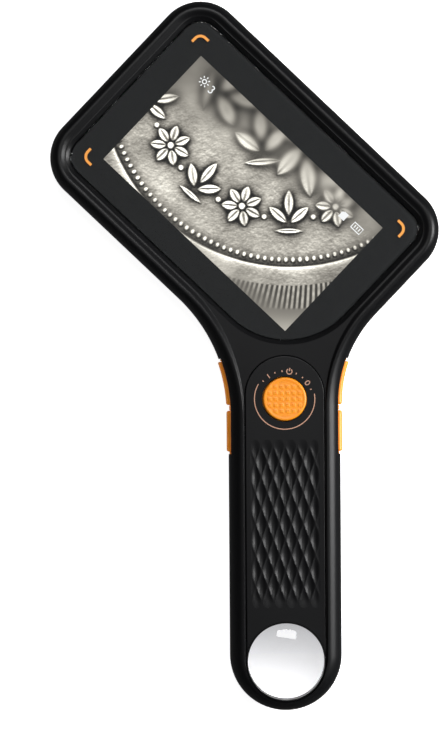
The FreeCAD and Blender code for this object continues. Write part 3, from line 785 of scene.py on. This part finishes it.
# Lit picture on the display: worn relief of a made-up medal, worked out as a height field and shaded.
screen = dict(
    length=94.5, width=57.0, seenLength=89.8, seenWidth=51.4, shiftAlong=-0.3, shiftAcross=-0.5,
    columns=380, rows=229, center=(-16.0, 41.0), beadRadius=64.5, beadPitch=2.5, rimWidth=7.0,
    light=(-0.42, 0.50, 0.757), sink=0.03 * mm)


# Soft step: share^2 (3 - 2 share), from 0 at low to 1 at high.
def softStep(value, low, high):
    share = np.clip((value - low) / (high - low), 0, 1)
    return share * share * (3 - 2 * share)


# Smooth noise: random values on a lattice, blended by the eased fraction of each cell.
def valueNoise(x, y, scale, seed):
    lattice = np.random.default_rng(seed).random((64, 64))
    px, py = x * scale + 100.0, y * scale + 100.0
    ix, iy = np.floor(px).astype(int), np.floor(py).astype(int)
    fx, fy = px - ix, py - iy
    fx, fy = fx * fx * (3 - 2 * fx), fy * fy * (3 - 2 * fy)
    a, b = lattice[ix % 64, iy % 64], lattice[(ix + 1) % 64, iy % 64]
    c, d = lattice[ix % 64, (iy + 1) % 64], lattice[(ix + 1) % 64, (iy + 1) % 64]
    return a + (b - a) * fx + (c - a) * fy + (a - b - c + d) * fx * fy


# A leaf between two arcs of equal radius that meet at both tips, with a rib sunk along it.
def leafHeight(x, y, px, py, angle, length, width, height):
    c, s = math.cos(angle), math.sin(angle)
    u, v = (x - px) * c + (y - py) * s, -(x - px) * s + (y - py) * c
    half = length / 2
    radius = (half * half + width * width / 4) / width
    inside = radius - np.sqrt(u * u + (np.abs(v) + radius - width / 2) ** 2)
    rib = 0.28 * np.exp(-(v / 0.32) ** 2) * (np.abs(u) < half)
    return height * softStep(inside, 0, 0.55) * (1 - rib)


# A disc with a soft rim.
def discHeight(x, y, px, py, radius, height):
    return height * softStep(radius - np.hypot(x - px, y - py), -0.1, 0.55)


# Gaussian blur in the frequency plane: exp(-2 (pi sigma f)^2).
def blur(image, sigma):
    fy = np.fft.fftfreq(image.shape[0])[:, None]
    fx = np.fft.fftfreq(image.shape[1])[None, :]
    kernel = np.exp(-2 * (math.pi * sigma) ** 2 * (fx ** 2 + fy ** 2))
    return np.real(np.fft.ifft2(np.fft.fft2(image) * kernel))


# A rosette: petals on spokes round a boss.
def rosette(height, x, y, px, py, size, petals):
    for petal in range(petals):
        turn = (petal + 0.25) * tau / petals
        height = np.maximum(height, leafHeight(
            x, y, px + size * 0.58 * math.cos(turn), py + size * 0.58 * math.sin(turn), turn, size * 0.86,
            size * 0.5, 2.5))
    return np.maximum(height, discHeight(x, y, px, py, size * 0.2, 3.2))


# A spray: one upright leaf and a pair that leans out below it, over a short bar.
def spray(height, x, y, px, py, facing, size):
    def spot(forward, sideways):
        return (px + forward * math.cos(facing) - sideways * math.sin(facing),
                py + forward * math.sin(facing) + sideways * math.cos(facing))

    leaves = ((0.45, 0, 0, 1.1), (0.0, 0.42, 0.85, 1.0), (0.0, -0.42, -0.85, 1.0))
    for forward, sideways, lean, length in leaves:
        cx, cy = spot(forward * size, sideways * size)
        height = np.maximum(height, leafHeight(x, y, cx, cy, facing + lean, length * size, 0.42 * size, 2.6))
    cx, cy = spot(-0.62 * size, 0)
    return np.maximum(height, leafHeight(x, y, cx, cy, facing + quarter, 1.25 * size, 0.26 * size, 2.4))


# Ground, ring of beads, raised rim, rosettes and sprays as one height field; its brightness is
# lambert (normal . light) plus a highlight, darkened in hollows and blurred away from the focus.
def reliefPicture(x, y):
    cx, cy = screen["center"]
    radius = np.hypot(x - cx, y - cy)
    angle = np.arctan2(y - cy, x - cx)
    bead = screen["beadRadius"]
    rough = 0.10 * valueNoise(x, y, 0.9, 4) + 0.075 * valueNoise(x, y, 2.1, 8)
    rough += 0.04 * valueNoise(x + 0.4 * y, y, 4.3, 9)
    height = 0.8 * valueNoise(x, y, 0.10, 3)
    count = round(tau * bead / screen["beadPitch"])
    phase = (angle * count / tau) % 1 - 0.5
    spot = np.hypot(phase * screen["beadPitch"], (radius - bead) * 0.8)
    height = np.maximum(height, 1.5 * softStep(1.0 - spot, 0, 0.55) + 0.3)
    rim = bead + 2.0
    height += 1.5 * softStep(radius, rim, rim + 0.8)
    edge = rim + screen["rimWidth"]
    inner = bead - 16.0
    for index, around in enumerate((-2.22, -1.87, -1.52, -1.17, -0.82, -0.47)):
        px, py = cx + inner * math.cos(around), cy + inner * math.sin(around)
        if index % 2:
            height = rosette(height, x, y, px, py, 7.6, 7)
        else:
            height = spray(height, x, y, px, py, around + math.pi, 9.2)
        between = around + 0.175
        height = np.maximum(height, discHeight(
            x, y, cx + (inner + 1.5) * math.cos(between), cy + (inner + 1.5) * math.sin(between), 1.25, 2.0))
    for px, py, facing, size in ((-27, 22, 0.5, 13), (-8, 18, 2.4, 12), (8, 24, -0.7, 14)):
        height = spray(height, x, y, px, py, facing, size)
    height += rough
    step = screen["length"] / screen["columns"]
    gx, gy = np.gradient(height, step)
    lx, ly, lz = screen["light"]
    normal = np.stack([-gx, -gy, np.ones_like(gx)])
    normal /= np.linalg.norm(normal, axis=0)
    lambert = np.clip(normal[0] * lx + normal[1] * ly + normal[2] * lz, 0, 1)
    half = np.array([lx, ly, lz + 1.0])
    half /= np.linalg.norm(half)
    shine = np.clip(normal[0] * half[0] + normal[1] * half[1] + normal[2] * half[2], 0, 1) ** 18
    near = np.clip(0.72 + (height - blur(height, 5)) * 0.95, 0.04, 1.12)
    wide = np.clip(0.85 + (height - blur(height, 14)) * 0.16, 0.55, 1.1)
    picture = (0.14 + 0.80 * lambert) * near * wide + 0.34 * shine * near
    picture *= 0.84 + 0.36 * valueNoise(x, y, 0.16, 12)
    scratch = valueNoise(x * 0.35 + y * 0.9, y * 0.2 - x * 0.6, 5.0, 15)
    picture += 0.06 * (scratch - 0.5) + 0.10 * (valueNoise(x, y, 3.4, 17) - 0.5)
    plateau = softStep(radius, rim + 0.6, rim + 1.4)
    picture *= 1 - 0.10 * plateau
    picture *= 1 - 0.42 * softStep(y - 0.45 * x, 10, 42) - 0.28 * softStep(x + 0.5 * y, 30, 52)
    reeds = 0.5 + 0.5 * np.sin(angle * 268 + 0.45 * (radius - edge) + 0.5 * np.sin(angle * 31))
    wallShade = 0.13 + 0.44 * softStep(reeds, 0.35, 0.75) * (0.7 + 0.4 * valueNoise(x, y, 0.8, 21))
    face = softStep(radius, edge - 0.25, edge + 0.25)
    picture = picture * (1 - face) + wallShade * face
    far = softStep(radius, edge + 7.6, edge + 8.8)
    plain = 0.33 + 0.20 * softStep(radius, edge + 8, edge + 17)
    picture = picture * (1 - far) + plain * far
    focus = np.abs(y + 6 - 0.14 * x)
    soft = softStep(focus, 12, 26)
    picture = picture * (1 - soft) + blur(picture, 4.0) * soft
    return np.clip(picture, 0.02, 1.15)


# A closed solid between a grid of points and a flat far side at one height.
def gridSolid(name, points, shape, farZ, bodyName="body"):
    index = np.arange(len(points)).reshape(shape)
    quads = np.stack([index[:-1, :-1], index[1:, :-1], index[1:, 1:], index[:-1, 1:]], -1)
    quads = quads.reshape(-1, 4).tolist()
    border = np.concatenate([index[:, 0], index[-1, 1:], index[-2::-1, -1], index[0, -2:0:-1]])
    far = points[border].copy()
    far[:, 2] = farZ
    start, count = len(points), len(border)
    for k in range(count):
        following = (k + 1) % count
        quads.append([int(border[k]), start + k, start + following, int(border[following])])
    quads.append([start + k for k in range(count)][::-1])
    return makePiece(name, np.concatenate([points, far]), quads, bodyName)


# The picture is a colour on each point of the display's face, dark outside the window.
def displayPiece():
    low, high = nodeBox("display_panel")
    columns, rows = screen["columns"], screen["rows"]
    x = (np.arange(columns + 1) / columns - 0.5) * screen["length"]
    y = (np.arange(rows + 1) / rows - 0.5) * screen["width"]
    gx, gy = np.meshgrid(x, y, indexing="ij")
    picture = reliefPicture(gx, gy)
    picture *= (np.abs(gx) < screen["seenLength"] / 2) & (np.abs(gy) < screen["seenWidth"] / 2)
    flat = toHead(np.stack([gx.ravel() + screen["shiftAlong"], gy.ravel() + screen["shiftAcross"]], 1) * mm)
    top = level(flat, high[2] - screen["sink"])
    piece = gridSolid("displayPicture", top, gx.shape, low[2], "body")
    glow = np.zeros((len(piece.data.vertices), 4))
    value = picture.ravel()[:, None]
    warm = np.array([1.0, 0.96, 0.865])
    cool = np.array([0.95, 0.85, 0.72])
    glow[:len(top), :3] = 1.85 * value ** 1.8 * (cool + (warm - cool) * np.clip(value, 0, 1))
    glow[:, 3] = 1
    attribute = piece.data.color_attributes.new("picture", "FLOAT_COLOR", "POINT")
    attribute.data.foreach_set("color", glow.ravel())
    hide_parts("display_panel")
    finish = Finish("displayPicture")
    colour = finish.node("ShaderNodeAttribute", dict(attribute_name="picture"))[0]
    dress(piece, finish.surface(
        Base_Color=(0.01, 0.01, 0.01, 1), Roughness=0.5, Specular_IOR_Level=0.1,
        Emission_Color=colour, Emission_Strength=0.95))


displayPiece()
print("stage: display")

icons = dict(width=0.42 * mm, height=0.04 * mm)


# White signs on the picture: a small sun with its level, a card and a battery.
def screenIcons():
    low = nodeBox("screen_border")[0][2] + 0.01 * mm
    paths = []

    def add(points):
        paths.append(toHead(np.asarray(points, float) * mm))

    sun = np.array([-37.5, 18.9])
    add(arcPoints(sun, 0.75, 0, tau, 20))
    for ray in range(8):
        spoke = np.array([math.cos(ray * tau / 8), math.sin(ray * tau / 8)])
        add([sun + spoke * 1.35, sun + spoke * 1.6, sun + spoke * 2.0])
    three = np.array([-33.8, 18.6])
    add(arcPoints(three + [0, 0.62], 0.62, 2.5, -1.35, 14))
    add(arcPoints(three - [0, 0.66], 0.72, 1.35, -2.5, 14))
    card = np.array([31.0, 18.3])
    for shift in np.linspace(-1.1, 1.1, 7):
        add([card + [shift, -1.4], card + [shift, 0.2], card + [shift, 1.4 - max(0, -shift - 0.5)]])
    cell = np.array([37.6, 18.3])
    add([cell + spot for spot in ([-2.0, -1.15], [2.0, -1.15], [2.0, 1.15], [-2.0, 1.15], [-2.0, -1.15])])
    for shift in (-1.0, 0.0, 1.0):
        add([cell + [shift, -0.6], cell + [shift, 0], cell + [shift, 0.6]])
    finish = Finish("iconWhite")
    spot = finish.place()
    glow = finish.mix(finish.noise(spot, 700), (0.95, 0.95, 0.95, 1), (1, 1, 1, 1))
    white = finish.surface(Base_Color=(0.02, 0.02, 0.02, 1), Emission_Color=glow, Emission_Strength=1.0)
    ribbonPiece("screenIcons", paths, icons["width"], low, low + icons["height"], "body",
                white)


screenIcons()

grip = dict(
    radius=14.1, edge=0.45, pitch=4.25, row=5.55, top=69.1, rows=9, depth=0.5, least=0.012,
    sideFade=2.4, endFade=7.5, reach=8.5, halfWidth=12.6, gridHalf=13.2, gridLow=12.0, gridHigh=82.5,
    buttonHole=8.05, loupeHole=14.2)


# Sunk diamonds: depth = (1 - (dx + dy)^2)(1 - (dx - dy)^2), zero on each cell's slanted rim.
def gripDepth(x, y):
    a, b = grip["pitch"] / 2, grip["row"]
    rowIndex = (grip["top"] - y) / b
    first = np.round(rowIndex / 2) * 2
    second = np.round((rowIndex - 1) / 2) * 2 + 1
    bowl = np.zeros_like(x)
    for row, shift in ((first, 0.0), (second, 0.5)):
        dx = (x / grip["pitch"] - shift) - np.round(x / grip["pitch"] - shift)
        dx = dx * grip["pitch"] / a
        dy = rowIndex - row
        inside = np.clip(1 - (dx + dy) ** 2, 0, 1) * np.clip(1 - (dx - dy) ** 2, 0, 1)
        bowl = np.where(np.abs(dx) + np.abs(dy) <= 1, inside, bowl)
    bottom = grip["top"] - grip["row"] * (grip["rows"] - 1)
    sideFade = softStep(grip["halfWidth"] - np.abs(x), 0, grip["sideFade"])
    topFade = softStep(grip["top"] + grip["reach"] - y, 0, grip["endFade"])
    lowFade = softStep(y - (bottom - grip["reach"]), 0, grip["endFade"])
    return grip["depth"] * bowl * sideFade * topFade * lowFade


# Plate with a rounded edge, two round holes and the field of diamonds cut from above.
def gripPiece():
    low, high = nodeBox("grip_panel")
    base, top = low[2], high[2]
    lowY, highY = loupeCenter[1], endY + shell["panelTop"]
    loops = [level(obround(grip["radius"] * mm, lowY, highY), base)]
    for inset, drop in roundedEdge(grip["edge"] * mm, 7):
        loops.append(level(obround(grip["radius"] * mm - inset, lowY, highY), top - drop))
    piece = loftSolid("gripPanel", loops, "body")
    x = np.linspace(-grip["gridHalf"], grip["gridHalf"], 133)
    y = np.linspace(grip["gridLow"], grip["gridHigh"], 236)
    gx, gy = np.meshgrid(x, y, indexing="ij")
    depth = gripDepth(gx, gy)
    surface = np.where(depth > grip["least"], top - depth * mm, top + 0.03 * mm)
    points = np.stack([handleX + gx.ravel() * mm, endY + gy.ravel() * mm, surface.ravel()], 1)
    bowls = gridSolid("bowls", points, gx.shape, top + 1 * mm, None)
    outward(bowls)
    holes = [cylinderSolid("hole", center, radius * mm, base - mm, top + mm, 120)
             for center, radius in ((buttonCenter, grip["buttonHole"]), (loupeCenter, grip["loupeHole"]))]
    carve(piece, [*holes, bowls])
    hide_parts("grip_panel")
    polish(piece, panelPlastic, 28)


gripPiece()
print("stage: grip panel")

ringMark = dict(radius=10.7, start=150, finish=370, width=0.32, height=0.04, signRadius=9.9)


# Thin ring round the button, and plain switch signs in the band above it.
def ringPiece():
    low = panelTop
    high = low + ringMark["height"] * mm
    start, finish = math.radians(ringMark["start"]), math.radians(ringMark["finish"])
    paths = [arcPoints(buttonCenter, ringMark["radius"] * mm, start, finish, 90)]
    band = ringMark["signRadius"] * mm

    def around(degrees, radius, shiftX=0.0, shiftY=0.0):
        angle = math.radians(degrees)
        radial = np.array([math.cos(angle), math.sin(angle)])
        side = np.array([math.sin(angle), -math.cos(angle)])
        return buttonCenter + radial * (radius + shiftY * mm) + side * shiftX * mm

    def stroke(degrees, *heights):
        paths.append(np.array([around(degrees, band, 0, height) for height in heights]))

    stroke(80, 0.1, 0.6, 1.25)
    turn = np.radians(np.linspace(125, 415, 26))
    paths.append(np.array([around(80, band, 0.95 * math.cos(a), 0.95 * math.sin(a)) for a in turn]))
    stroke(125, -0.85, 0, 0.85)
    turn = np.linspace(0, tau, 28)
    paths.append(np.array([around(35, band, 0.62 * math.cos(a), 0.85 * math.sin(a)) for a in turn]))
    for degrees in (140, 110, 95, 65, 50, 20):
        stroke(degrees, -0.3, 0, 0.3)
    ink = mouldedPlastic("markPeach", (0.55, 0.30, 0.20), 0.5, 0.000002)
    ribbonPiece("ringMark", paths, ringMark["width"] * mm, low, high, "body", ink)


ringPiece()

button = dict(
    radius=7.7, edge=0.6, pitch=2.15, columns=6, rows=5, bump=0.09, half=0.66, margin=0.9, flange=8.6,
    flangeLow=0.3, flangeHigh=1.15, wallLow=1.2, stem=1.6)


# Button top: flat disc with low square pads, height = product of two soft windows.
def buttonPiece():
    low, high = nodeBox("power_button")
    base, top = low[2] / mm, high[2] / mm
    count = 144
    angle = np.arange(count) * tau / count
    edge, radius = button["edge"], button["radius"]
    rings = [
        (button["stem"], base), (button["stem"], base + button["flangeLow"]),
        (button["flange"], base + button["flangeLow"]), (button["flange"], base + button["flangeHigh"]),
        (radius, base + button["wallLow"])]
    rings += [(radius - inset, top - drop) for inset, drop in roundedEdge(edge, 9)]
    inner = (radius - edge) * (1 - np.linspace(0, 1, 46)[1:-1])
    loops = []
    for ringRadius, z in rings + [(r, top) for r in inner]:
        x, y = ringRadius * np.cos(angle), ringRadius * np.sin(angle)
        z = np.full(count, float(z))
        if z[0] >= top - 1e-9:
            u, v, half = x / button["pitch"], y / button["pitch"], button["half"] / button["pitch"]
            inX = softStep(half - np.abs(u - np.floor(u) - 0.5), -0.04, 0.09)
            inY = softStep(half - np.abs(v - np.round(v)), -0.04, 0.09)
            inside = (np.abs(u) < button["columns"] / 2) & (np.abs(v) < button["rows"] / 2)
            z = z - button["bump"] + button["bump"] * inX * inY * inside
            z += button["bump"] * softStep(np.hypot(x, y), radius - edge - button["margin"], radius - edge)
        loops.append(np.stack([buttonCenter[0] + x * mm, buttonCenter[1] + y * mm, z * mm], 1))
    piece = loftSolid("powerButton", loops, "power_button")
    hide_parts("power_button")
    polish(piece, orange, 40)


buttonPiece()


# The keys follow the side of the neck, and so does the strip that their two windows are cut in.
def keyPieces():
    for side, word in ((-1, "left"), (1, "right")):
        for place in ("upper", "lower"):
            bodyName = word + "_" + place + "_key"
            piece = sideBand(word + place.title() + "Key", side, *keys[place], keys["halfHeight"],
                             -keys["proud"], keys["back"], keys["round"], bodyName, "orange_key")
            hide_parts(bodyName)
            polish(piece, orange, 50)
        low, high, half = keySlot()
        slack, gap = keys["slack"], keys["gap"]
        strip = sideBand(word + "KeyStrip", side, low + slack, high - slack, half - slack, keys["recess"],
                         keys["stripBack"], keys["stripRound"], "body", "orange_key")
        carve(strip, [
            sideBox("window", side, keys[place][0] - gap, keys[place][1] + gap, keys["halfHeight"] + gap)
            for place in ("upper", "lower")])
        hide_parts(word + "_key_strip")
        polish(strip, orange, 50)


keyPieces()
print("stage: button and keys")

loupe = dict(radius=13.6, rim=0.5, edge=3.0, bulge=2.2, seat=12.6)


# Magnifier: two spherical caps, z = seat -+ (R - sqrt(R^2 - r^2)), on a plain edge.
def loupePieces():
    sphere = (loupe["radius"] ** 2 + loupe["bulge"] ** 2) / (2 * loupe["bulge"])
    r = loupe["radius"] * np.sin(np.linspace(0.004, 1, 30) * quarter)
    sag = sphere - np.sqrt(sphere ** 2 - r ** 2)
    low, high = loupe["seat"], loupe["seat"] + loupe["edge"]
    lower = [(a, low - loupe["bulge"] + b) for a, b in zip(r, sag)]
    upper = [(a, high + loupe["bulge"] - b) for a, b in zip(r, sag)][::-1]
    outer = loupe["radius"] + loupe["rim"]
    lens = turnedSolid("magnifierLens", lower + [(outer, low), (outer, high)] + upper, loupeCenter, "body",
                       closed=False)
    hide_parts("loupe_lens")
    polish(lens, magnifierGlass, 30)
    top = panelTop / mm
    ring = turnedSolid("magnifierRing", [
        (loupe["radius"], high), (outer, high), (outer, top - 0.12), (outer - 0.12, top),
        (loupe["radius"] + 0.14, top), (loupe["radius"], top - 0.14)], loupeCenter, "body")
    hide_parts("loupe_ring")
    polish(ring, panelPlastic)


loupePieces()

hood = dict(
    bore=15.4, outer=20.5, flange=24.0, lip=1.1, window=17.1, windowSeat=7.2, top=10.0, floor=8.0,
    collar=18.5, collarLow=9.4, grooves=6, grooveTop=6.2, grooveDepth=0.35)
pane = dict(radius=17.0, edge=0.4, low=7.2, high=8.4, chamfer=0.3)


# Lens hood: a turned skirt with shallow grooves inside, and the clear window over the lamps.
def hoodPieces():
    bore, outer, lip, flange, floor = (hood[key] for key in ("bore", "outer", "lip", "flange", "floor"))
    profile = [(bore + 0.5, 0.0), (outer - lip, 0.0)]
    profile += [(outer - lip + lip * math.sin(t), lip * (1 - math.cos(t)))
                for t in np.linspace(0.2, quarter, 7)]
    profile += [(outer, floor), (flange, floor), (flange, hood["collarLow"]),
                (hood["collar"], hood["collarLow"]), (hood["collar"], hood["top"]),
                (hood["window"], hood["top"]), (hood["window"], hood["windowSeat"]), (bore, hood["windowSeat"])]
    deep = bore + hood["grooveDepth"]
    for step in range(hood["grooves"]):
        z = hood["grooveTop"] - step
        profile += [(bore, z), (deep, z - 0.3), (deep, z - 0.6), (bore, z - 0.7)]
    profile.append((bore, 0.4))
    piece = turnedSolid("lensHood", profile, headCenter, "body", 120)
    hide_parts("lens_hood")
    polish(piece, hoodPlastic)
    low, high, radius = pane["low"], pane["high"], pane["radius"]
    window = turnedSolid("lightWindow", [
        (0.02, low), (radius - pane["edge"], low), (radius, low + pane["chamfer"]), (radius, high),
        (0.02, high)], headCenter, "body", closed=False)
    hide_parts("light_window")
    polish(window, acrylic)


hoodPieces()
print("stage: lenses and hood")

screw = dict(head=2.3, thickness=1.3, shank=1.1, length=10.0, base=7.1, recess=0.7, arm=1.35, blade=0.42,
             soft=0.35)


# One screw is turned and its cross is cut, then its mesh is copied to the six places.
def screwPiece():
    base, top = screw["base"], screw["base"] + screw["thickness"]
    shank, tip, soft = screw["shank"], top + screw["length"], screw["soft"]
    profile = [(0.01, base), (screw["head"] - soft, base), (screw["head"], base + soft), (screw["head"], top),
               (shank, top), (shank, tip - 0.6), (shank * 0.4, tip), (0.01, tip)]
    first = turnedSolid("screw", profile, (0.0, 0.0), None, 40, False)
    arm, blade, deep = screw["arm"] * mm, screw["blade"] * mm, (base + screw["recess"]) * mm
    carve(first, [boxSolid("cross", (-arm, -blade / 2, base * mm - mm), (arm, blade / 2, deep)),
                  boxSolid("cross", (-blade / 2, -arm, base * mm - mm), (blade / 2, arm, deep))])
    count = len(first.data.vertices)
    flat = np.zeros(count * 3)
    first.data.vertices.foreach_get("co", flat)
    points = flat.reshape(-1, 3)
    faces = [list(face.vertices) for face in first.data.polygons]
    drop(first)
    places = screwPlaces()
    allPoints = np.concatenate([points + np.array([place[0], place[1], 0.0]) for place in places])
    allFaces = [[index + count * k for index in face] for k in range(len(places)) for face in faces]
    piece = makePiece("coverScrews", allPoints, allFaces, "body")
    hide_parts("housing_screws")
    polish(piece, steelFinish, 30)


screwPiece()
print("stage: screws")

# Places and sizes of the lights in metres, then their power in watts.
light = dict(
    floorGlow=1.0, floorReach=6, sky=0.07,
    boxes=(
        ("rightBox", (0.95, 0.05, 0.50), (0.30, 1.1), 21.0),
        ("topBox", (0.08, 0.53, 1.36), (0.50, 0.46), 7.0),
        ("overBox", (0.0, -0.02, 1.7), (1.6, 1.6), 1.2)))


# Pale floor that glows evenly, and soft lights turned towards the middle of the object.
def studio():
    finish = Finish("floorPale")
    spot = finish.place()
    tone = finish.mix(finish.noise(spot, 3, 2), (0.90, 0.90, 0.90, 1), (0.92, 0.92, 0.92, 1))
    pale = finish.surface(Base_Color=tone, Roughness=0.8, Specular_IOR_Level=0.1, Emission_Color=tone,
                          Emission_Strength=light["floorGlow"])
    reach, z = light["floorReach"], -0.2 * mm
    corners = [(-reach, -reach, z), (reach, -reach, z), (reach, reach, z), (-reach, reach, z)]
    floor = makePiece("floor", corners, [[0, 1, 2, 3]], None)
    dress(floor, pale)
    floor.visible_glossy = False
    world = bpy.data.worlds.new("studio")
    bpy.context.scene.world = world
    world.use_nodes = True
    background = world.node_tree.nodes["Background"]
    background.inputs["Color"].default_value = (1, 1, 1, 1)
    background.inputs["Strength"].default_value = light["sky"]
    for name, place, size, power in light["boxes"]:
        source = bpy.data.lights.new(name, "AREA")
        source.shape = "RECTANGLE"
        source.size, source.size_y = size
        source.energy = power
        lamp = bpy.data.objects.new(name, source)
        lamp.location = place
        lamp.rotation_euler = (Vector((0, -0.02, 0.02)) - Vector(place)).to_track_quat("-Z", "Y").to_euler()
        bpy.context.scene.collection.objects.link(lamp)


# The photo looks straight down on the face from far away, turned by a third of a degree.
photo = dict(
    pixel=0.357 * mm, centerX=220.0, centerY=367.5, headX=244.47, headY=193.97, turn=math.radians(-0.37),
    lens=150.0, sensor=36.0, height=735.0)


def camera():
    x = (photo["centerX"] - photo["headX"]) * photo["pixel"]
    y = -(photo["centerY"] - photo["headY"]) * photo["pixel"]
    c, s = math.cos(photo["turn"]), math.sin(photo["turn"])
    data = bpy.data.cameras.new("photoCamera")
    data.lens = photo["lens"]
    data.sensor_width = photo["sensor"]
    distance = photo["height"] * photo["pixel"] * photo["lens"] / photo["sensor"]
    eye = bpy.data.objects.new("photoCamera", data)
    eye.location = (headCenter[0] + x * c - y * s, headCenter[1] + x * s + y * c, parting + distance)
    eye.rotation_euler = (0, 0, photo["turn"])
    data.clip_end = 20
    bpy.context.scene.collection.objects.link(eye)
    bpy.context.scene.camera = eye
    bpy.context.scene.view_settings.view_transform = "Standard"


studio()
camera()
print("stage: studio")
